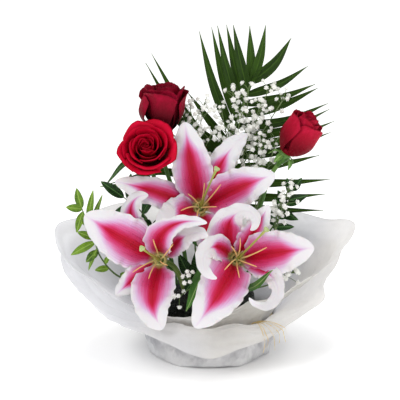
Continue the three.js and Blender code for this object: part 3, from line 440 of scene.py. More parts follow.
# Raffia tie
# Dry strands of palm fibre, flat and a little twisted, tie the inner sheet at its neck. From the
# knot at the front right, loose ends lie on the outer sheet and hang over its edge.
def smooth_path(points, count):
    """Even points on the centripetal Catmull-Rom curve through the given ones: on each span a
    cubic, whose end slopes come from neighbours spaced by the square root of their distance."""
    p = np.array(points, float)
    p = np.vstack([2 * p[0] - p[1], p, 2 * p[-1] - p[-2]])
    gap = np.linalg.norm(np.diff(p, axis=0), axis=1)[:, None] ** 0.5
    x0, x1, x2, x3, d0, d1, d2 = p[:-3], p[1:-2], p[2:-1], p[3:], gap[:-2], gap[1:-1], gap[2:]
    m1 = ((x1 - x0) / d0 - (x2 - x0) / (d0 + d1) + (x2 - x1) / d1) * d1
    m2 = ((x2 - x1) / d1 - (x3 - x1) / (d1 + d2) + (x3 - x2) / d2) * d1
    w = np.linspace(0, 1, 80, endpoint=False)[:, None, None]
    fine = x1 + m1 * w + (3 * (x2 - x1) - 2 * m1 - m2) * w**2 + (2 * (x1 - x2) + m1 + m2) * w**3
    fine = np.vstack([np.moveaxis(fine, 0, 1).reshape(-1, 3), p[-2]])
    length = np.concatenate([[0], np.cumsum(np.linalg.norm(np.diff(fine, axis=0), axis=1))])
    even = np.linspace(0, length[-1], count)
    return np.stack([np.interp(even, length, fine[:, k]) for k in range(3)], -1)


def rings_form(rings):
    """A closed skin over rings of points, whose ends are fans round the end rings' middles."""
    n, m = rings.shape[:2]
    at = np.arange(n * m).reshape(n, m)
    after = np.roll(at, -1, 1)
    quads = np.stack([at[:-1], after[:-1], after[1:], at[1:]], -1)
    first, last = np.full(m, n * m), np.full(m, n * m + 1)
    fans = [np.stack([after[0], at[0], first], -1), np.stack([at[-1], after[-1], last], -1)]
    points = np.vstack([rings.reshape(-1, 3), rings[0].mean(0), rings[-1].mean(0)])
    place = stacked(np.linspace(0, 1, n)[:, None], np.arange(m)[None, :] / m, 0).reshape(-1, 3)
    return Form(points, quads, np.vstack(fans), np.vstack([place, (0, 0, 0), (1, 0, 0)]))


def strand(path, radii, sides, flat=1.0, twist=0.0, guide=None):
    """A round or flat rod along a path: each ring is an ellipse across the path, flat times as
    thick as it is wide, that turns by twist radians from the first ring to the last."""
    along = unit(np.gradient(path, axis=0))
    if guide is None:
        upright = abs(unit(path[-1] - path[0] + 1e-9)[2]) > 0.8
        guide = (0, 1, 0) if upright else (0, 0, 1)
    side = unit(np.cross(np.array(guide, float), along))
    up = np.cross(along, side)
    turned = twist * np.linspace(0, 1, len(path))[:, None]
    a = 2 * np.pi * np.arange(sides)[None, :] / sides
    x, y = np.cos(a), flat * np.sin(a)
    cos, sin = np.cos(turned), np.sin(turned)
    x, y = (x * cos - y * sin)[..., None], (x * sin + y * cos)[..., None]
    radii = np.broadcast_to(radii, len(path))[:, None, None]
    return rings_form(path[:, None] + radii * (x * side[:, None] + y * up[:, None]))


def profile(count, shares, values):
    """Values at even shares of a length, straight between the given ones."""
    return np.interp(np.linspace(0, 1, count), shares, values)


TIE_RADIUS, TIE_HEIGHT, KNOT_DEGREES = 75.1, 44, -52
HOOPS, COILS = 6, 5
LOOSE_ENDS = [(-58, 14), (-52, 17), (-43, 7), (-56, 9), (-48, 12), (-45, 15)]  # angle and drop
draw = np.random.default_rng(3)
raffia_forms = []
turn = np.linspace(0, 2 * np.pi, 120)
for k in range(HOOPS):
    r = TIE_RADIUS + 0.5 * np.sin(3 * turn + k) + 0.35 * (k % 2)
    z = TIE_HEIGHT - 1.5 + 0.6 * k + 1.1 * np.sin(2 * turn + 1.7 * k)
    hoop = stacked(r * np.cos(turn), r * np.sin(turn), z)
    raffia_forms.append(strand(hoop, 0.8, 6, 0.3, 9 + k, (0, 0, 1)))
angle = math.radians(KNOT_DEGREES)
knot = TIE_RADIUS * np.array([math.cos(angle), math.sin(angle), 0])
knot[2] = TIE_HEIGHT
out = unit(knot * (1, 1, 0))
beside = np.cross((0, 0, 1), out)
loop = np.linspace(0, 2 * np.pi, 26)[:, None]
for k in range(COILS):
    coil = beside * 3.2 * np.cos(loop) + np.array((0, 0, 2.3)) * np.sin(loop + 0.5 * k)
    coil = knot - (0, 0, 1) + coil + out * (0.5 * np.sin(loop * 2 + k) + 0.3 * k - 0.4)
    raffia_forms.append(strand(coil, 0.9, 6, 0.4, 5, out))


def outer_points(degrees, shares):
    """Points of the outer sheet's surface at angles and at shares of its half width."""
    degrees, shares = np.array(degrees, float), np.array(shares, float)
    return wrap_surface(OUTER_EDGE, OUTER_STEP, OUTER_FLOOR, degrees, shares)


def on_outer_sheet(degrees, v):
    """A point 2.6 mm inside the outer sheet, by the surface's normal."""
    around = outer_points([degrees - 0.5, degrees + 0.5], [v, v])
    up = outer_points([degrees, degrees], [v - 0.004, v + 0.004])
    return up.mean(0) - 2.6 * unit(np.cross(around[1] - around[0], up[1] - up[0]))


for degrees, drop in LOOSE_ENDS:
    ways = [(v, KNOT_DEGREES + (1.7 * v - 0.7) * (degrees - KNOT_DEGREES))
            for v in (0.5, 0.6, 0.72, 0.84, 0.96)]
    edge = outer_points([degrees], [1])[0]
    out = unit(edge * (1, 1, 0))
    over = edge + 2.4 * out + (0, 0, 0.8)
    curl = draw.uniform(-4, 4) * np.cross((0, 0, 1), out)
    half_way = over + 1.2 * out - (0, 0, 0.5 * drop) + curl * 0.4
    tip = over + 1.5 * out - (0, 0, drop) + curl
    lying = [on_outer_sheet(angle, v) for v, angle in ways]
    path = smooth_path([knot, *lying, over, half_way, tip], 70)
    radii = profile(70, [0, 0.5, 1], [0.9, 0.7, 0.35]) * draw.uniform(0.8, 1.1)
    raffia_forms.append(strand(path, radii, 6, 0.35, draw.uniform(2, 7)))

raffia = Finish("dry_raffia", {"IOR": 1.45})
along, round_, _ = raffia.mark("place")
lines = raffia.cloud(along * 6, round_ * 26, 0, 4, 0.7)
stops = [(0.25, "b99652"), (0.5, "dcc48a"), (0.8, "efe0b8")]
straw = raffia.node("ShaderNodeValToRGB", {"stops": stops}, [lines])
raffia.wear(straw, lines.ease(0.3, 0.7, 0.45, 0.75), raffia.bump(lines, 0.0003))
make_piece("raffia_strands", raffia_forms, raffia, "raffia", "raffia_tie")


# Bowl
# A round black bowl moulded in thin plastic, with a rolled rim and upright ribs on its wall. It
# stands on the sheets, and shows only faintly through them.
def turned_form(rows, sides, frame_=None, wave=None):
    """A form turned about the axis through rows of height and radius, its radius times wave, and
    then set in a bloom's frame."""
    rows = np.array(rows, float)
    a = 2 * np.pi * np.arange(sides)[None, :] / sides
    r = rows[:, 1:] * (1 if wave is None else wave(a, rows[:, :1]))
    rings = stacked(r * np.cos(a), r * np.sin(a), rows[:, :1])
    return rings_form(rings if frame_ is None else in_frame(frame_, rings))


BOWL_WALL = [  # height and radius, up the outside and down the inside
    (2.15, 20), (2.15, 56.6), (2.6, 57.8), (4, 58.7), (14, 61.2), (28, 64.9), (40, 67.9), (41, 69),
    (43.4, 69), (44, 68.4), (44, 67.2), (43.2, 66.6), (40, 66), (28, 62.8), (14, 59), (5.4, 56),
    (4.4, 54), (4.4, 20),
]


def bowl_ribs(a, z):
    """48 ribs round the wall, 0.6 percent of the radius high, between its foot and its rim."""
    return 1 + 0.006 * np.cos(48 * a) * ((z > 6) & (z < 38))


plastic = Finish("black_moulded_plastic", {"IOR": 1.5, "Coat Weight": 0.15})
scuffs = plastic.noise(plastic.place(), 220, 4, 0.7)
plastic.wear(
    plastic.mix(scuffs, "0d0e0d", "232523"),
    scuffs.ease(0.3, 0.75, 0.22, 0.5),
    plastic.bump(scuffs, 0.0001),
)
bowl = turned_form(BOWL_WALL, 192, wave=bowl_ribs)
make_piece("floral_bowl_wall", [bowl], plastic, "bowl_plastic", "floral_bowl")


# Foam block
# Soaked floral foam, cut round with a knife and chamfered at its top, stands in the bowl. The
# stems are pushed into it. Wet, it is nearly black, with glints in its open cells.
FOAM_CUT = [  # height and radius
    (4.7, 18), (4.7, 40), (4.7, 52.4), (6, 53.1), (22, 53.4), (38, 53.8), (54, 54.3), (66, 54.7),
    (71, 54.2), (75, 50.6), (79, 46.8), (80, 44), (80.2, 34), (80, 22), (80, 8),
]


def foam_surface():
    """The block's turned outline, with the knife's flats, 9 to the turn, and torn cells: a
    crumple of up to 1.1 mm in and out."""
    fine = smooth_path([(height, radius, 0) for height, radius in FOAM_CUT], 70)
    height, radius = fine[:, :1], fine[:, 1:2]
    a = 2 * np.pi * np.arange(180)[None, :] / 180
    r = radius * (1 - 0.012 * np.abs(np.sin(4.5 * a + 0.3)))
    rings = stacked(r * np.cos(a), r * np.sin(a), height)
    torn = 0.7 * creases(rings, 5, 8, 7, 16) + 0.5 * creases(rings, 6, 8, 2.5, 5)
    return rings * (1 + (rising(height, 8, 10) * torn / 60)[..., None])


foam = Finish("wet_floral_foam", {"IOR": 1.33, "Specular IOR Level": 0.6})
cells = foam.cells(foam.place(), 900.0)
pits = foam.noise(foam.place(), 260, 5, 0.7)
foam.wear(
    foam.mix(pits.ease(0.35, 0.7), "060a07", "232c20"),
    pits.ease(0.35, 0.65, 0.22, 0.75),
    foam.bump(cells, 0.0006, foam.bump(pits, 0.003)),
)
make_piece("foam_block_cut", [rings_form(foam_surface())], foam, "floral_foam", "foam_block")


# Lilies
# Three open oriental lilies: six tepals each, white and ruffled at their edges, pink inside with
# a crimson stripe, on a short green throat. They grow from the stem's receptacle.
def facing_frame(centre, facing):
    """A bloom's frame: its third axis is the way it faces, its first lies to a viewer's right."""
    z = unit(np.array(facing, float))
    x = unit(np.array((1.0, 0, 0)) - z[0] * z)
    return np.array([x, np.cross(z, x), z]), np.array(centre, float)


def in_frame(frame_, points):
    """Points of a bloom's frame, in the bouquet's."""
    return np.asarray(points) @ frame_[0] + frame_[1]


def shell_form(middle, normal, thick, place, size):
    """A closed thin shell: the middle surface moved both ways along its normal by half of the
    thickness, with a rim between the two. The side mark is 1 on the normal's side, or else 0."""
    n, m = middle.shape[:2]
    count = n * m
    at = np.arange(count).reshape(n, m)
    front = np.stack([at[:-1, :-1], at[1:, :-1], at[1:, 1:], at[:-1, 1:]], -1).reshape(-1, 4)
    rim = np.concatenate([at[:-1, 0], at[-1, :-1], at[:0:-1, -1], at[0, :0:-1]])
    after = np.roll(rim, -1)
    edge = np.stack([after, rim, rim + count, after + count], -1)
    half = normal * (np.broadcast_to(thick, (n, m)) / 2)[..., None]
    points = np.concatenate([(middle + half).reshape(-1, 3), (middle - half).reshape(-1, 3)])
    sides = np.vstack([stacked(*place, side).reshape(-1, 3) for side in (1.0, 0.0)])
    sizes = np.stack([np.broadcast_to(x, (n, m)) for x in size], -1).reshape(-1, 3)
    quads = np.vstack([front, (front + count)[:, ::-1], edge])
    return Form(points, quads, (), sides, np.vstack([sizes, sizes]))


def surface_normal(points, towards):
    """The unit normal of a grid of points, on the side of the given vectors."""
    normal = unit(np.cross(np.gradient(points, axis=0), np.gradient(points, axis=1)))
    side = np.sign(np.sum(normal * towards, -1, keepdims=True))
    return normal * np.where(side == 0, 1, side)


TEPAL_ROWS, TEPAL_COLUMNS, TEPAL_STEPS = 96, 35, 240


def tepal(frame_, number, azimuth, length, width, lean, curl, phase, power=1.5, bend=0, hook=1.6,
          start=5.4, ruffle=2.6, taper=0.0, stripe=1.0):
    """A tepal leaves the throat at its lean from the bloom's axis, bends back to its curl and may
    turn to one side. It wraps round the axis at its foot and flattens beyond, with a blunt tip and
    a far half made narrower by the taper. Waves of the ruffle's height run along its edges, with
    a finer frill both ways, and a channel runs down its middle. The size mark starts with the
    share of the length over which the stripe runs."""
    s = 1 - (1 - np.linspace(0, 1, TEPAL_ROWS)[:, None]) ** 1.2
    t = np.sin(np.linspace(-1, 1, TEPAL_COLUMNS) * np.pi / 2)[None, :]

    def way(b, a):
        return stacked(np.sin(b) * np.cos(a), np.sin(b) * np.sin(a), np.cos(b))

    def lean_at(x):
        return np.radians(lean + (curl - lean) * x**power)

    def heading_at(x):
        return np.radians(azimuth + bend * x**hook)

    middles, ends = (np.arange(TEPAL_STEPS) + 0.5) / TEPAL_STEPS, np.linspace(0, 1, TEPAL_STEPS + 1)
    steps = way(lean_at(middles), heading_at(middles)) * length / TEPAL_STEPS
    route = np.cumsum(steps, axis=0)
    route = np.vstack([(0, 0, 0), route]) + way(np.pi / 2, np.radians(azimuth)) * start
    centre = np.stack([np.interp(s[:, 0], ends, route[:, k]) for k in range(3)], -1)
    across = way(np.pi / 2, heading_at(s[:, 0]) + np.pi / 2)[:, None]
    inner = way(lean_at(s[:, 0]) - np.pi / 2, heading_at(s[:, 0]))[:, None]
    radius = start + 0.5 * length * s
    arch = np.sin(np.pi * s**0.85)
    full = width / 2 * (0.1 * (1 - s) ** 2 + arch ** np.where(s < 0.44, 0.8, 0.56) + 0.02)
    far = rising(s, 0.3, 0.4)
    full = full * (1 - taper * (3 - 2 * far) * far**2)
    half = np.minimum(full, 0.95 * radius * (1 + 8 * s * s))
    scallop = np.sin(37 * s + phase + 2 * np.sign(t)) + 0.7 * np.sin(61 * s - phase + np.sign(t))
    half = half + np.abs(t) ** 3 * 0.6 * scallop * np.sin(np.pi * s) ** 0.5
    bowl = 0.9 * (1 - s) ** 3 / radius * half
    cup = half * t * t * (0.5 * bowl - 0.16 * s)
    wave = np.sin(np.pi * s) * np.sin(12.5 * s + phase + np.where(t > 0, 1.6, 0))
    frill = np.abs(t) ** 4 * np.sin(np.pi * s) ** 0.5
    frill = frill * (1.5 * np.sin(41 * s + 2 * phase + 2 * t) + 0.7 * np.sin(67 * s - phase))
    channel = -0.9 * bell(half * t, 1.5) * (1 - s**3)
    rib = -0.35 * bell(np.abs(t) - 0.42, 0.08) * np.sin(np.pi * s)
    height = cup + ruffle * t * t * wave + frill + channel + rib
    points = centre[:, None] + across * (half * t * (1 - bowl**2 * t**2 / 6))[..., None]
    points = points + inner * height[..., None]
    thick = 0.35 + 0.65 * (1 - t**2) * (1 - 0.5 * s)
    normal = surface_normal(points, inner) @ frame_[0]
    return shell_form(in_frame(frame_, points), normal, thick, (s, t), (stripe, half, number))


LILIES = [  # each tepal: azimuth, length, width, lean, curl, phase, and what is unusual
    {
        "name": "lily_top", "centre": (-12, 12, 174), "facing": (0.02, -0.86, 0.42),
        "tepals": [
            (106, 112, 46, 30, 96, 0.3, {"power": 1.3, "bend": -8, "hook": 1}),
            (64, 110, 32, 40, 118, 2.0, {"bend": -30, "hook": 3, "start": 7, "stripe": 0.8}),
            (20, 109, 48, 30, 102, 4.0, {"bend": -1, "start": 6.2}),
            (167, 112, 34, 42, 100, 1.0, {"start": 7}),
            (208, 81, 44, 26, 108, 5.0, {"power": 2, "bend": 18, "stripe": 0.7}),
            (286, 70, 34, 44, 150, 3.0, {"start": 7}),
        ],
        "style": (62, 26, 78),
        "stem": [(-5, 8, 58), (-6, 10, 86), (-8, 22, 130), (-10, 26, 158)],
        "leaves": [
            ((-7.5, 19, 122), (-42, 15, 156), (-66, 4, 190), 17),
            ((-8, 22, 132), (20, 34, 170), (34, 26, 208), 16),
            ((-8, 22, 132), (-78, 10, 200), (-132, 6, 203), 8),
        ],
    },
    {
        "name": "lily_left", "centre": (-59, -30, 122), "facing": (-0.16, -0.9, 0.32),
        "tepals": [
            (148, 107, 56, 30, 97, 0.6, {"power": 1, "start": 6.2}),
            (90, 122, 38, 20, 120, 3.4, {"power": 2, "bend": -105, "hook": 1, "taper": 0.45}),
            (266, 104, 50, 34, 100, 2.2, {"power": 2.2, "bend": 44, "hook": 2.6}),
            (222, 69, 29, 34, 98, 1.2, {"start": 7}),
            (39, 90, 26, 40, 84, 4.4,
             {"power": 2.8, "bend": -78, "hook": 3.1, "start": 7, "stripe": 0.7}),
            (128, 98, 26, 52, 104, 5.3, {"bend": -150, "hook": 3.2, "start": 7}),
        ],
        "style": (130, 9, 66),
        "stem": [(-26, -14, 58), (-32, -18, 84), (-43, -15, 108)],
        "leaves": [((-39, -16, 100), (-66, 2, 112), (-92, 6, 140), 16)],
    },
    {
        "name": "lily_right", "centre": (31, -34, 124), "facing": (0.12, -0.9, 0.34),
        "tepals": [
            (120, 108, 50, 46, 108, 0.2,
             {"power": 2.8, "bend": -280, "hook": 2.3, "start": 7, "ruffle": 1.6, "taper": 0.6,
              "stripe": 0.66}),
            (7, 105, 52, 30, 98, 2.6, {"power": 2.2}),
            (237, 126, 54, 20, 102, 4.6, {"power": 1.3, "bend": -5, "hook": 1.5}),
            (335, 136, 24, 34, 104, 1.1,
             {"power": 2.8, "bend": -221, "hook": 2.3, "start": 7, "ruffle": 1.2, "taper": 0.35,
              "stripe": 0.5}),
            (151, 124, 30, 28, 90, 3.2,
             {"power": 2.8, "bend": 200, "hook": 2.1, "start": 7, "taper": 0.3, "stripe": 0.6}),
            (62, 80, 28, 36, 98, 5.4, {"power": 1.9}),
        ],
        "style": (50, 30, 72),
        "stem": [(20, -14, 58), (24, -17, 84), (27, -12, 108)],
        "leaves": [
            ((24.5, -17, 92), (-5, -53, 112), (-28, -97, 81), 18),
            ((25, -17, 90), (49, -79, 103), (71, -99, 131), 13),
        ],
    },
]
THROAT = [  # height and radius, up the outside and down the inside
    (-6, 5), (-6, 7), (-4.5, 7.6), (0, 7.7), (4, 7.4), (5, 6.6), (5, 5.2), (3, 4.4), (-5, 4.4),
]
STRIPE_COLOURS = [  # from the midline outwards
    (0.0, "b00626"), (0.17, "bd123a"), (0.34, "cd3a70"), (0.52, "d76a9e"), (0.7, "d89ac4"),
    (0.88, "dec8dc"), (1.0, "e4e0e3"),
]

tepals = Finish("lily_tepal", {
    "IOR": 1.38, "Specular IOR Level": 0.25, "Subsurface Weight": 0.1, "Subsurface Scale": 0.004,
})
s, t, side = tepals.mark("place")
stripe, half, number = tepals.mark("size")
a, along = abs(t), s / stripe
streaks = tepals.cloud(s * 2.2, t * 9, number * 7.3, 4, 0.6)
blotches = tepals.cloud(s * 4, t * 2.4, number * 3.1, 2, 0.5)
uneven = (streaks - 0.5) * 0.3 + (blotches - 0.5) * 0.16
distance = a / along.ease(0.05, 0.95, 1.3, 0.55) + uneven + along.ease(0.62, 1.02) * 1.1
inside = tepals.node("ShaderNodeValToRGB", {"stops": STRIPE_COLOURS}, [distance])
lilac = distance.ease(0.5, 0.8) * (1 - distance.ease(0.9, 1.5)) * blotches.ease(0.35, 0.65)
inside = tepals.mix(lilac * 0.4, inside, "d3b0d6")
inside = tepals.mix(a.ease(0.88, 0.98) * 0.5, inside, "e4e0dd")
inside = tepals.mix((1 - s.ease(0.02, 0.12)) * 0.9, inside, "d3d588")
dots = tepals.cells(tepals.vector(s * 100, t * half, number), 0.42)
papillae = (1 - dots.ease(0.12, 0.26)) * (1 - s.ease(0.35, 0.6)) * (1 - a.ease(0.5, 0.75))
inside = tepals.mix(papillae * 0.5, inside, "9c0a2c")
flush = (1 - a.ease(0.02, 0.2)) * (1 - s.ease(0.2, 0.8))
outside = tepals.mix(flush * 0.55, "e6e0da", "dd9cb0")
outside = tepals.mix((1 - s.ease(0.0, 0.16)) * 0.6, outside, "cfd3a0")
veins = (t * 70 + (streaks - 0.5) * 5).sine() * 0.5 + 0.5
relief = tepals.bump(veins * (1 - s.ease(0.8, 1.0)), 0.00018)
tepals.wear(
    tepals.mix(side.ease(0.4, 0.6), outside, inside),
    streaks.ease(0.3, 0.7, 0.34, 0.5),
    tepals.bump(papillae, 0.0009, relief),
)
number = 0
for bloom in LILIES:
    lily = facing_frame(bloom["centre"], bloom["facing"])
    forms = [turned_form(THROAT, 40, lily)]
    forms[0].place = np.broadcast_to((0, 0, 1), forms[0].points.shape)
    for *shape, unusual in bloom["tepals"]:
        forms.append(tepal(lily, number, *shape, **unusual))
        number += 1
    make_piece(bloom["name"] + "_tepals", forms, tepals, "lily_petal", bloom["name"] + "_petals")


# Lily stems
# Each bloom's green: a round stem in the foam, leaves with parallel veins, the receptacle under
# the throat, six bare filaments, and the olive style with its three-lobed stigma.
def leaf_form(points, width, face, outline, fold, thick, rows, columns, ripple, number):
    """A blade along a smooth path: its half width is the outline's share at each share of its
    length, its two halves rise from the midrib by the fold, and its edges may ripple."""
    path = smooth_path(points, rows)
    along = unit(np.gradient(path, axis=0))
    across = unit(np.cross(along, np.array(face, float)))
    normal = unit(np.cross(across, along))[:, None]
    s, t = np.linspace(0, 1, rows)[:, None], np.linspace(-1, 1, columns)[None, :]
    half = np.maximum(0.18, width / 2 * outline(s))
    lift = fold * half * np.sqrt(t * t + 0.02)
    lift = lift + ripple * np.abs(t) ** 3 * np.sin(17 * s + 3 * t + number)
    middle = path[:, None] + across[:, None] * (half * t)[..., None] + normal * lift[..., None]
    thick = thick * (0.55 + 0.9 * bell(half * t, 0.8) * (1 - 0.6 * s))
    return shell_form(middle, surface_normal(middle, normal), thick, (s, t), (0, half, number))


def lance(s):
    """The outline of a broad leaf: a skewed arch."""
    return 0.1 * (1 - s) ** 2 + np.sin(np.pi * s**0.86) ** 0.75


def leaf_finish(name, light, dark, rib, gloss, pinnate):
    """A leaf's finish: a paler midrib, veins beside it or along it, mottle, and a paler back."""
    leaf = Finish(name, {
        "IOR": 1.42, "Specular IOR Level": 0.2, "Coat Weight": 0.03, "Coat Roughness": 0.25,
    })
    s, t, side = leaf.mark("place")
    _, half, number = leaf.mark("size")
    off = abs(t) * half
    mottle = leaf.cloud(s * 5, t * 1.5, number * 5.7, 4, 0.6)
    each = leaf.cloud(number * 3.3, 0.5, 0.5, 1)
    veins = (s * 75 - off * 1.3 if pinnate else t * half * 5.5).sine() * 0.5 + 0.5
    body = leaf.mix(mottle.ease(0.3, 0.7) * 0.55 + each.ease(0.35, 0.65) * 0.45, dark, light)
    body = leaf.mix((veins**4) * 0.22, body, rib)
    body = leaf.mix((1 - off.ease(0.25, 0.75)) * 0.7, body, rib)
    back = leaf.mix(0.45, body, "8aa36f")
    leaf.wear(
        leaf.mix(side.ease(0.4, 0.6), back, body),
        mottle.ease(0.3, 0.7, gloss, gloss + 0.2),
        leaf.bump(veins, 0.00022),
    )
    return leaf


def stalk_finish(name, light, dark, end):
    """A fresh stem: darker streaks run along it, and fine ridges, and its end has its own tone."""
    stalk = Finish(name, {"IOR": 1.42, "Coat Weight": 0.1})
    along, round_, _ = stalk.mark("place")
    lines = stalk.cloud(along * 7, round_ * 14, 0, 4, 0.6)
    body = stalk.mix(lines.ease(0.3, 0.7), dark, light)
    stalk.wear(
        stalk.mix(along.ease(0.85, 1.0) * 0.5, body, end),
        lines.ease(0.3, 0.7, 0.38, 0.6),
        stalk.bump(lines, 0.0004),
    )
    return stalk


lily_stalk = stalk_finish("lily_stalk", "8fa653", "5c7a33", "b9c98a")
lily_leaf = leaf_finish("lily_leaf", "4e8a34", "1f4d1d", "a9c47c", 0.32, False)
style_finish = stalk_finish("lily_style", "b4ba5c", "8d9a3c", "c3cf7e")
filament = Finish("lily_filament", {"IOR": 1.4})
along, round_, _ = filament.mark("place")
blush = filament.cloud(along * 5, round_ * 3, 0, 3)
filament.wear(
    filament.mix(along.ease(0.05, 0.6), "dde09a", "efc57e"),
    blush.ease(0.3, 0.7, 0.35, 0.55),
    filament.bump(blush, 0.0003),
)
stigma_finish = Finish("lily_stigma", {"IOR": 1.4, "Coat Weight": 0.3})
beads = stigma_finish.cells(stigma_finish.place(), 1700.0)
stigma_finish.wear(
    stigma_finish.mix(beads.ease(0.0, 0.7), "dfe6b4", "a8bd70"),
    beads.ease(0.0, 0.8, 0.2, 0.5),
    stigma_finish.bump(1 - beads, 0.0004),
)
RECEPTACLE = [(-9.5, 2.6), (-8.4, 3.4), (-6, 4), (2, 3.9), (10, 3.4)]
STIGMA = [(-2.4, 1.3), (-1.2, 2.3), (0.2, 3.2), (1.4, 3.6), (2.3, 3.1), (2.7, 1.8), (2.4, 0.5)]


def stigma_lobes(a, z):
    """Three lobes, 16 percent of the radius high, above the stigma's neck."""
    return 1 + 0.16 * np.cos(3 * a) * (z > -1)


def lily_green(name, lily, bloom):
    """Rods along smooth paths and leaves: a filament leaves the throat nearly upright and leans
    out more and more, and the stigma is a turned bead whose radius has three lobes."""

    def add(part, forms, finish):
        make_piece(name + part, forms, finish, "lily_stem", name + "_stem")

    def rise(azimuth, lean, along, sag):
        a, b = math.radians(azimuth), math.radians(lean)
        r = along * math.sin(b) + sag
        return in_frame(lily, (r * math.cos(a), r * math.sin(a), along * math.cos(b)))

    behind, end = in_frame(lily, (0, 0, -20.0)), in_frame(lily, (0, 0, -7.0))
    stem = strand(smooth_path([*bloom["stem"], behind, end], 90), 3.2, 16)
    add("_stalk", [stem, turned_form(RECEPTACLE, 24, lily)], lily_stalk)
    add("_leaves", [
        leaf_form(points, width, (0, -0.7, 0.7), lance, 0.3, 0.7, 44, 17, 0.7, k + 0.3)
        for k, (*points, width) in enumerate(bloom["leaves"])
    ], lily_leaf)

    filaments = []
    for k in range(6):
        azimuth = 20 + 60 * k + 11 * math.sin(3.7 * k + len(name))
        length, lean = 51 + 8 * math.sin(2.3 * k + 1), 15 + 5 * math.cos(1.7 * k)
        points = [
            rise(azimuth, 8, 5, 0), rise(azimuth - 4, lean - 4, length * 0.4, 2.0),
            rise(azimuth + 3, lean, length * 0.75, 4.2),
            rise(azimuth + 7, lean + 3, length * 1.02, 6.5),
        ]
        radii = profile(26, [0, 0.3, 0.9, 1], [1.3, 0.9, 0.65, 0.4])
        filaments.append(strand(smooth_path(points, 26), radii, 10))
    add("_filaments", filaments, filament)

    azimuth, lean, length = bloom["style"]
    points = [
        rise(azimuth, 0, 5, 0), rise(azimuth, lean * 0.7, length * 0.5, 0),
        rise(azimuth, lean, length, 3),
    ]
    path = smooth_path(points, 34)
    radii = profile(34, [0, 0.1, 0.25, 0.8, 1], [2.9, 2.6, 1.35, 1.15, 1.6])
    add("_style", [strand(path, radii, 14)], style_finish)
    head = facing_frame(path[-1], path[-1] - path[-3])
    add("_stigma", [turned_form(STIGMA, 30, head, stigma_lobes)], stigma_finish)


for bloom in LILIES:
    lily_green(bloom["name"], facing_frame(bloom["centre"], bloom["facing"]), bloom)


# Roses
# Three red roses: a dark upright one behind, a bright open one that faces the front, and a
# crimson bud that leans to the right. Velvet petals lie in a spiral, their rims rolled back.
PETAL_ROWS, PETAL_COLUMNS = 30, 27


def rose_petal(frame_, number, azimuth, ring, height, spread, flare, roll, close=0.0, lap=1.5,
               point=0.0, base=None):
    """A petal wraps part of the way round the axis: it swells from its base to the ring's
    radius, and its rim flares out and rolls down. One side edge lies inside its neighbour. A
    pointed petal's rim reaches out in its middle and rolls back beside it."""
    s = np.linspace(0, 1, PETAL_ROWS)[:, None] ** 0.85
    t = np.linspace(-1, 1, PETAL_COLUMNS)[None, :]
    a = np.radians(azimuth + spread * t * (0.6 + 0.4 * np.sin(np.pi / 2 * s)))
    foot = 3 + 0.26 * ring if base is None else base
    swell = np.sin(np.pi / 2 * np.minimum(1, 1.7 * s)) ** 0.8
    r = foot + (ring - foot) * swell + flare * s**5 - close * s**3
    shift = lap * t * (0.4 + 0.6 * s)
    z = height * s * (1 - 0.17 * t**4) - roll * s**6
    r = r + point * s**7 * (1.4 * (1 - np.abs(t)) ** 1.3 - 0.45)
    z = z - 0.55 * point * s**8 * np.abs(t) ** 1.5
    wave = np.sin(3.1 * t + 1.9 * number) + 0.6 * np.sin(7.3 * t + 2.7 * number)
    r, z = r + shift + 0.55 * s**4 * wave, z + 0.5 * s**6 * np.sin(5.3 * t + number)
    z = z + 0.28 * s**12 * np.sin(23 * t + number)
    points = np.stack([r * np.cos(a), r * np.sin(a), z], -1)
    inwards = -stacked(np.cos(a), np.sin(a), 0.01)
    normal = surface_normal(points, inwards) @ frame_[0]
    thick = 0.42 + 0.4 * (1 - s) ** 2
    return shell_form(in_frame(frame_, points), normal, thick, (s, t), (0, 0, number))
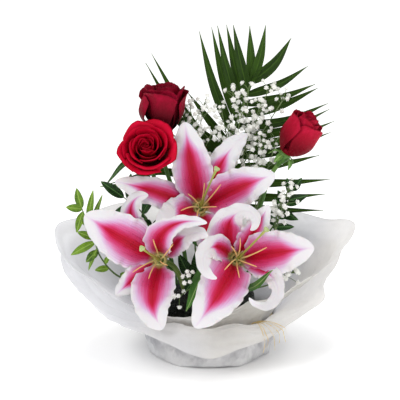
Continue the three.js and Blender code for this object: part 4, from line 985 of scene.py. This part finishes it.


# Each rose's colours: its painted shade, which is also the red of its veins; its body; and its
# painted highlight.
ROSES = [  # each ring: count, turn, radius, height, spread, flare, roll, and what is unusual
    {
        "name": "rose_back", "centre": (-55, 19, 269.5), "facing": (0.02, -0.02, 1), "height": 54,
        "colours": ("4a0410", "860924", "aa1036"),
        "rings": [
            (3, 50, 12, 55, 64, 3, 1, {}),
            (4, 82, 18.5, 56, 52, 5, 3, {"lap": 2}),
            (3, 250, 23.5, 52, 60, 6, 4, {}),
            (1, 184, 33.5, 46, 38, 0, 1, {"close": 8}),
        ],
        "heart": [
            (2, 0, 3, 53, 105, 0, 0, {}), (3, 40, 6, 54, 80, 0.5, 0, {}),
            (3, 95, 9, 54.5, 72, 1, 0, {}),
        ],
        "stem": [(-22, 18, 58), (-27, 22, 86), (-42, 28, 180)],
    },
    {
        "name": "rose_front", "centre": (-73, -3.5, 243), "facing": (-0.05, -0.83, 0.56),
        "height": 36, "colours": ("7a0014", "c4032a", "da0a3a"),
        "rings": [
            (3, 20, 8.5, 38, 62, 1, 0, {}),
            (3, 70, 16, 38, 62, 4, 2, {"lap": 2.6}),
            (5, 42, 25.5, 34, 48, 8.5, 6, {"lap": 2.2, "point": 3.6}),
        ],
        "heart": [
            (2, 10, 2.2, 36, 110, 0, 0, {}), (2, 75, 4.2, 37, 100, 0.3, 0, {}),
            (3, 130, 6.2, 37.5, 76, 0.6, 0, {}), (3, 5, 12, 39, 74, 2.6, 1.2, {"lap": 2.4}),
            (3, 20, 21.5, 37, 70, 6, 4, {"lap": 2.6, "point": 1}),
        ],
        "stem": [(-34, 2, 58), (-42, 6, 84), (-58, 18, 170)],
        "leaf": [(-65, 22, 197), (-97, 9, 232), (-124, -3, 208)],
    },
    {
        "name": "rose_right", "centre": (92, 6, 246), "facing": (0.52, -0.14, 0.84), "height": 48,
        "colours": ("6e0416", "a60c2a", "c41c40"),
        "rings": [
            (3, 70, 12, 53, 64, 1, 0, {"close": 3}),
            (4, 20, 22, 49, 56, 3, 2, {"close": 5, "lap": 1.8}),
        ],
        "heart": [
            (2, 0, 3, 50, 105, 0, 0, {}), (3, 60, 6.5, 52, 78, 0.4, 0, {}),
            (4, 65, 17, 51, 58, 2, 1, {"close": 4}),
        ],
        "stem": [(26, 2, 58), (32, 3, 86), (56, 12, 160)],
    },
]


def rose_finish(name, shade_and_vein_red, body, light):
    """Rose velvet: painted shade, deeper towards the foot and at the very rim, and painted
    highlights in cloudy patches over the upper half, with fine veins that fan out to the rim."""
    velvet = Finish(name, {
        "Sheen Weight": 0.08, "Sheen Roughness": 0.3, "Sheen Tint": tint("ff3040"), "IOR": 1.36,
        "Specular IOR Level": 0.14,
    })
    s, t, _ = velvet.mark("place")
    _, _, number = velvet.mark("size")
    cloud = velvet.cloud(s * 3, t * 2.5, number * 3.7, 3, 0.55)
    veins = velvet.cloud(s * 2, t * 26, number * 9.1, 3, 0.6)
    # Painted shade towards the foot, a painted highlight in patches higher up, and painted shade at
    # the very rim.
    colour = velvet.mix(s.ease(0.25, 0.85), shade_and_vein_red, body)
    colour = velvet.mix(cloud.ease(0.4, 0.75) * s.ease(0.5, 0.9) * 0.8, colour, light)
    colour = velvet.mix(s.ease(0.965, 0.995) * 0.55, colour, shade_and_vein_red)
    colour = velvet.mix(veins.ease(0.5, 0.8) * 0.22, colour, shade_and_vein_red)
    relief = velvet.bump(veins, 0.0004, velvet.bump(cloud, 0.0012))
    velvet.wear(colour, cloud.ease(0.3, 0.7, 0.5, 0.72), relief)
    return velvet


for rose in ROSES:
    place, tall = facing_frame(rose["centre"], rose["facing"]), rose["height"]
    core = [  # height and radius
        (-2, 6), (0, 10.6), (3, 11.3), (4.5, 11), (6, 5), (0.85 * tall, 2.2), (0.93 * tall, 0.6),
    ]
    forms, number = [turned_form(core, 24, place)], 0
    for base, rings in ((None, rose["rings"]), (2.0, rose["heart"])):
        for count, turn, ring, height, spread, flare, roll, unusual in rings:
            for k in range(count):
                azimuth = turn + 360 * k / count + 6 * math.sin(3.3 * number + 0.5)
                forms.append(rose_petal(
                    place, number, azimuth, ring * (1 + 0.045 * math.sin(4.1 * number + 1)),
                    height + 1.1 * math.sin(2.7 * number + 2), spread,
                    flare * (1 + 0.3 * math.sin(5.3 * number)), roll, base=base, **unusual,
                ))
                number += 1
    velvet = rose_finish(rose["name"] + "_velvet", *rose["colours"])
    make_piece(rose["name"] + "_bloom", forms, velvet, "rose_petal", rose["name"] + "_petals")


# Rose stems
# Under each rose a green hip carries five folded sepals, on a stem with a few blunt thorns that
# runs down between the lilies into the foam. The open rose's stem also has one dark leaf.
THORNS, SEPALS = 4, 5
HIP = [  # height and radius
    (-22.4, 2.4), (-19.4, 2.9), (-15.4, 4.2), (-11.4, 6.2), (-8.4, 7.5), (-5, 7.6), (-2.4, 6.6),
]
rose_stalk = stalk_finish("rose_stalk", "5f8f3c", "3a6427", "86a856")
sepal_green = leaf_finish("rose_sepal", "6f9a45", "3c6b2a", "a9c47c", 0.42, False)
rose_leaf = leaf_finish("rose_leaf", "2c4f22", "11280f", "5f8048", 0.35, True)
for rose in ROSES:
    name, node = rose["name"], rose["name"] + "_stem"
    place = facing_frame(rose["centre"], rose["facing"])
    neck = [in_frame(place, (0, 0, z)) for z in (-36.4, -19.4)]
    path = smooth_path([*rose["stem"], *neck], 110)
    forms = [strand(path, 2.6, 14), turned_form(HIP, 32, place)]
    for k in range(THORNS):
        out = unit(np.array((math.cos(2.4 * k), math.sin(2.4 * k), 0.25)))
        share = np.linspace(0, 1, 8)[:, None]
        thorn = share * out * 5.4 + path[22 + 17 * k] - (0, 0, 1) * share**2
        forms.append(strand(thorn, profile(8, [0, 0.5, 1], [2.2, 1.5, 0.15]), 8))
    make_piece(name + "_stalk", forms, rose_stalk, "rose_stem", node)
    sepals = []
    for k in range(SEPALS):
        a = math.radians(360 * k / SEPALS + 20)
        points = [in_frame(place, (r * math.cos(a), r * math.sin(a), z))
                  for r, z in ((5.2, -5.4), (11.5, -7.4), (17, -15.4))]
        face = np.array((math.cos(a), math.sin(a), 0.0)) @ place[0]
        sepals.append(leaf_form(points, 7, face, lance, 0.35, 0.6, 24, 11, 0.4, k + 0.7))
    make_piece(name + "_sepals", sepals, sepal_green, "rose_stem", node)
    if "leaf" in rose:
        blade = leaf_form(rose["leaf"], 8, (0, -0.8, 0.6), lance, 0.2, 0.5, 40, 13, 0.3, 0.6)
        make_piece(name + "_leaf", [blade], rose_leaf, "rose_stem", node)


# Palm frond
# A dark palm frond stands behind the flowers. Its long leaflets are folded along their middles
# like gutters, ribbed lengthwise, and fan out from a smooth green rib.
RIB = [(4, 30, 58), (6, 37, 86), (17, 58, 150), (20, 64, 210), (34, 66, 272), (52, 66, 320)]
LEAFLETS = [  # height on the rib, tip, bow and width
    (318, (48, 63, 388), 0.0, 12), (319, (67, 56, 390), -0.03, 12), (319, (98, 59, 374), -0.07, 15),
    (303, (119, 63, 339), -0.06, 12), (292, (128, 57, 318), -0.05, 12),
    (278, (133, 66, 312), -0.05, 13), (264, (144, 58, 294), -0.07, 13),
    (251, (147, 67, 285), -0.08, 12), (238, (152, 57, 272), -0.06, 13),
    (226, (149, 67, 256), -0.06, 12), (212, (135, 58, 229), -0.04, 12),
    (194, (150, 64, 197), -0.02, 12), (178, (144, 57, 180), -0.03, 12),
    (165, (141, 50, 161), -0.02, 11), (306, (28, 60, 390), -0.01, 13),
    (294, (20, 67, 389), -0.01, 12), (282, (9, 59, 389), -0.02, 12), (270, (2, 67, 386), -0.02, 12),
    (254, (-13, 60, 382), -0.03, 13), (238, (-27, 66, 306), 0.0, 11),
    (226, (-36, 60, 278), 0.0, 17), (212, (-71, 67, 354), -0.03, 12),
    (198, (-78, 59, 344), -0.03, 12), (180, (-62, 66, 246), 0.04, 16),
    (165, (-126, 44, 196), 0.2, 12),
]


def at_height(path, height):
    """The point of a rising path at a height."""
    return np.array([np.interp(height, path[:, 2], path[:, k]) for k in range(3)])


def gutter(s):
    """The outline of a leaflet: a stub at the rib, widest at a third, drawn out to its tip."""
    return (0.3 * (1 - s) ** 3 + 0.95 * np.sin(np.pi * s**0.7) ** 0.95) * (1 - 0.2 * s)


palm = leaf_finish("palm_leaflet", "345310", "172c08", "44651c", 0.42, False)
rib_finish = stalk_finish("palm_rib", "5d7f3c", "2f4f25", "4d7236")
rib = smooth_path(RIB, 200)
leaflets = []
for k, (height, tip, bow, width) in enumerate(LEAFLETS):
    root = at_height(rib, height)
    chord = np.array(tip) - root
    across = np.array((-chord[2], 0, chord[0])) * np.sign(chord[0])
    points = [root, root + chord / 2 + across * bow, tip]
    leaflets.append(leaf_form(points, width, (0, -1, 0), gutter, 0.34, 0.5, 52, 13, 0.15, k + 0.1))
make_piece("palm_leaflets", leaflets, palm, "palm_leaf", "palm_frond")
stalk = strand(rib, profile(200, [0, 0.6, 1], [2.4, 2.2, 1.5]), 12)
make_piece("palm_rib", [stalk], rib_finish, "palm_leaf", "palm_frond")


# Leafy sprigs
# Small-leaved twigs stand in the foam at both sides, mid green at the left and darker at the
# right. Stems with broad dark leaves fill the gaps behind the left lily and low in the middle.
SPRIGS = [
    {
        "name": "leafy_sprig_left", "slot": "green_leaf",
        "leaves": [  # height of the root on the twig, tip and width
            (185.5, (-157, -30, 210), 10), (184, (-170, -31, 187), 9.5), (181, (-158, -34, 157), 9),
            (166, (-138.5, -20, 205), 8), (160, (-128, -15, 198), 6), (150, (-157, -35, 158), 9),
            (145, (-165, -37, 130), 10), (134, (-147, -40, 122), 10), (166, (-150, -37, 176), 9),
            (156, (-146, -39, 167), 7), (112, (-137, -37, 111), 8), (137, (-144, -43, 113), 5),
            (148, (-125, -38, 141), 9), (118, (-119, -36, 129), 6), (99, (-101, -35, 108), 6),
        ],
        "route": [(-38, -6, 60), (-48, -8, 80), (-82, -14, 90), (-110, -28, 101), (-130, -33, 126),
                  (-138, -33, 150), (-152, -28, 186)],
    },
    {
        "name": "leafy_sprig_right", "slot": "green_leaf", "from": 0.62, "count": 9, "extra": 6,
        "long": 24, "wide": 9, "turn": 137, "spread": 62, "seed": 9,
        "route": [(36, 12, 60), (42, 14, 82), (66, 24, 130), (88, 12, 168), (100, 0, 200)],
    },
    {
        "name": "leafy_stem_inner", "slot": "dark_leaf", "from": 0.45, "count": 9, "extra": 0,
        "long": 36, "wide": 12, "turn": 150, "spread": 58, "seed": 21,
        "route": [(-44, 8, 58), (-49, 9, 80), (-64, 4, 136), (-80, 0, 170), (-104, -2, 192)],
    },
]
LOW_STEM = [(-17, -8, 58), (-17, -9, 76), (-17, -10, 94)]
LOW_LEAVES = [  # root, middle, tip and width
    ((-17, -10, 88), (-28, -9, 102), (-38, -7, 122), 15),
    ((-17, -10, 92), (-15, -12, 110), (-14, -14, 132), 15),
    ((-17, -10, 87), (-3, -11, 98), (9, -12, 112), 14),
    ((-17, -10, 85), (-26, -22, 94), (-34, -33, 99), 12),
    ((-17, -10, 84), (-23, -28, 90), (-30, -45, 86), 14),
]
mid_green = leaf_finish("small_leaf", "7ba02c", "1f4516", "9ab858", 0.34, True)
dark_green = leaf_finish("broad_leaf", "2a5220", "0c220e", "5f8a4c", 0.24, True)
twig_finish = stalk_finish("leaf_twig", "5f7a3a", "3c5628", "6d8a44")


def seeded_draws(seed):
    """Evenly spread numbers from 0 to 1, the same as the solid's: each state is a fixed multiple
    of the last plus a fixed number, modulo 2 to the power 32."""
    while True:
        seed = (seed * 1664525 + 1013904223) % 4294967296
        yield seed / 4294967296


def placed_leaves(sprig, route):
    """Leaves from given heights on the twig to given tips, bent forward in their middles."""
    face = np.array((-0.2, -0.9, 0.4))
    for i, (height, tip, width) in enumerate(sprig["leaves"]):
        root = at_height(route, height)
        points = [root, (root + tip) / 2 + face * 1.5, tip]
        yield leaf_form(points, width, face, lance, 0.2, 0.5, 26, 13, 0.25, 3 * i + 0.45)


def spaced_leaves(sprig, route):
    """Leaves at a steady spacing along the twig, each turned on round it and leaning out, with
    the last along it, and extra ones between them."""
    draws, tangents = seeded_draws(sprig["seed"]), unit(np.gradient(route, axis=0))
    between = lambda low, high: low + (high - low) * next(draws)
    count, extra = sprig["count"], sprig["extra"]
    for i in range(count + extra):
        step = i / (count - 1) if i < count else (i - count + 0.5) / extra
        share = sprig["from"] + (0.995 - sprig["from"]) * step
        root, along = route[round(400 * share)], tangents[round(400 * share)]
        side = unit(np.cross(along, (0, -1, 0)))
        front = unit(np.cross(side, along))
        a = math.radians(sprig["turn"] * i + between(-14, 14))
        lean = math.radians(8 if i == count - 1 else sprig["spread"] + between(-8, 8))
        length = sprig["long"] * between(0.8, 1.1)
        out = side * math.cos(a) + front * 0.7 * math.sin(a)
        way = along * math.cos(lean) + out * math.sin(lean)
        face = along * 0.5 + front * 0.8 - out * 0.3
        points = [root, root + way * length / 2 + face * 0.8, root + way * length - face * 0.8]
        yield leaf_form(points, sprig["wide"], face, lance, 0.26, 0.5, 26, 13, 0.25, i + 0.45)


for sprig in SPRIGS:
    name, slot, route = sprig["name"], sprig["slot"], smooth_path(sprig["route"], 401)
    if "leaves" in sprig:
        leaves, finish = placed_leaves(sprig, route), mid_green
    else:
        leaves, finish = spaced_leaves(sprig, route), dark_green
    make_piece(name + "_leaves", list(leaves), finish, slot, name)
    twig = strand(route[::4], profile(401, [0, 0.5, 1], [1.3, 1.1, 0.6])[::4], 8)
    make_piece(name + "_twig", [twig], twig_finish, slot, name)
leaves = [
    leaf_form(points, width, (0, -0.8, 0.6), lance, 0.26, 0.5, 34, 15, 0.4, k + 0.2)
    for k, (*points, width) in enumerate(LOW_LEAVES)
]
make_piece("leafy_stem_low_leaves", leaves, dark_green, "dark_leaf", "leafy_stem_low")
twig = strand(smooth_path(LOW_STEM, 40), np.linspace(1.3, 1.0, 40), 8)
make_piece("leafy_stem_low_twig", [twig], twig_finish, "dark_leaf", "leafy_stem_low")


# Gypsophila
# Sprays of baby's breath: wiry green twigs fork again and again, and each ends in a small double
# white floret. They fill the air between the frond, the roses and the lilies.
FLORET_LAYERS = [(1.0, 0.1, 0.5), (0.86, 0.42, 0.86), (0.55, 0.8, 1.15)]  # radius, low, high
STAR_POINTS, FORK_FLORETS, FORK_ANGLE = 10, 3, math.radians(48)
EXTRA_FLORETS = [16, 16, 16, 16, 16, 3, 16]  # along each fork, by spray
LONG_TURN = 137.508  # radians; the sines of its multiples look random
SPRAYS = [  # the route of the main twig, and the ends of its forks
    ([(-12, 22, 58), (-15, 26, 88), (-22, 40, 190), (-14, 42, 246)],
     [(-24, 40, 292), (-8, 36, 296), (-18, 36, 275), (2, 34, 262)]),
    ([(14, 22, 58), (17, 26, 88), (34, 46, 190), (46, 46, 262)],
     [(27, 42, 310), (46, 38, 316), (70, 38, 314), (88, 38, 302), (60, 34, 294)]),
    ([(8, 13, 58), (10, 16, 86), (20, 40, 170), (26, 42, 228)],
     [(14, 38, 290), (38, 32, 286), (22, 30, 268)]),
    ([(28, 18, 58), (33, 21, 86), (52, 34, 150), (64, 30, 192)],
     [(62, 24, 252), (44, 28, 240), (80, 30, 254), (60, 22, 228)]),
    ([(38, -4, 58), (44, -5, 82), (68, -8, 130), (80, -16, 160)], [(92, -16, 204), (82, -22, 184)]),
    ([(-8, -26, 58), (-9, -32, 82), (-16, -48, 94), (-20, -60, 98)],
     [(-24, -70, 110), (-36, -80, 92)]),
    ([(38, -18, 58), (45, -22, 78), (66, -38, 92), (78, -46, 98)], [(98, -48, 112)]),
]


def floret(centre, way, size, turn):
    """Three stacked stars, each a flat double cone whose rim has five petals and five notches,
    turned on by half a petal from the one below and smaller than it."""
    x = unit(np.cross(way, (0.3, 0.5, 0.81)))
    y = np.cross(way, x)
    k = np.arange(STAR_POINTS)
    after, foot = (k + 1) % STAR_POINTS, np.full(STAR_POINTS, STAR_POINTS)
    fans = [np.stack([after, k, foot], -1), np.stack([k, after, foot + 1], -1)]
    for layer, (radius, low, high) in enumerate(FLORET_LAYERS):
        a = 2 * np.pi * k / STAR_POINTS + 0.63 * layer + turn
        rim_r = size * radius * np.where(k % 2, 0.66, 1.0)
        rim_z = size * (low + (high - low) * np.where(k % 2, 0.35, 0.7))
        rim = centre + x * (rim_r * np.cos(a))[:, None] + y * (rim_r * np.sin(a))[:, None]
        rim = rim + way * rim_z[:, None]
        points = np.vstack([rim, centre + way * size * low * 0.4, centre + way * size * high])
        yield Form(points, (), np.vstack(fans), (0, 0, 1))


def twig_form(points, count, thick, thin, sides):
    """A twig along a smooth path, evenly drawn out from its thick end to its thin one."""
    return strand(smooth_path(points, count), np.linspace(thick, thin, count), sides)


white_petals = Finish("gypsophila_floret", {"IOR": 1.36, "Sheen Weight": 0.2})
specks = white_petals.noise(white_petals.place(), 900, 3, 0.6)
white_petals.wear(
    white_petals.mix(specks.ease(0.35, 0.7), "fbfbf2", "ffffff"),
    specks.ease(0.3, 0.7, 0.55, 0.85),
    white_petals.bump(specks, 0.00008),
)
white_petals.let_through(0.15, "ffffff")
spray_green = stalk_finish("gypsophila_twig", "7f9460", "566e3c", "93a86e")
for number, ((route, forks), extra) in enumerate(zip(SPRAYS, EXTRA_FLORETS)):
    path = smooth_path(route, 300)
    twigs, blooms = [strand(path[::6], np.linspace(1.2, 0.9, 50), 7)], []
    draw = np.random.default_rng(40 + number)
    for i, end in enumerate(forks):
        root = path[round(299 * (0.985 - 0.2 * (i % 4) / 4 - 0.02 * i))]
        end = np.array(end, float)
        along = unit(end - root)
        bend = (root + end) / 2 + (0, 0, 1.5)
        twigs.append(twig_form([root, bend, end], 12, 0.8, 0.5, 6))
        guide = np.array((0.0, 1, 0) if abs(along[2]) > 0.8 else (0.0, 0, 1))
        last = unit(end - bend)
        side = unit(np.cross(guide, last))
        up = np.cross(last, side)
        for j in range(FORK_FLORETS):
            a = 2 * np.pi * (j + 0.5) / FORK_FLORETS
            out = side * math.cos(a) + up * math.sin(a)
            way = unit(out * math.sin(FORK_ANGLE) + along * math.cos(FORK_ANGLE))
            length = 9.1 + 3 * math.sin(LONG_TURN * (FORK_FLORETS * i + j))
            size = 3.5 * (1 + 0.16 * math.sin(5 * i + 2 * j))
            tip = end + way * length
            middle = end + way * length * 0.5 + along * 0.5
            twigs.append(twig_form([end - along, middle, tip], 7, 0.45, 0.35, 5))
            blooms += floret(tip, way, size, draw.uniform(0, 6))
        for _ in range(extra):
            share = draw.uniform(0.15, 1.0)
            at = (1 - share) ** 2 * root + 2 * share * (1 - share) * bend + share**2 * end
            way = unit(along * 0.7 + unit(draw.normal(size=3)) + (0, -0.8, 0.2))
            length, size = draw.uniform(7, 19), draw.uniform(2.6, 4.2)
            tip = at + way * length
            twigs.append(twig_form([at, (at + tip) / 2 + along * 0.8, tip], 7, 0.4, 0.3, 5))
            blooms += floret(tip, way, size, draw.uniform(0, 6))
    node = f"gypsophila_{number + 1}"
    make_piece(node + "_twigs", twigs, spray_green, "gypsophila", node)
    make_piece(node + "_florets", blooms, white_petals, "gypsophila", node).data.shade_flat()
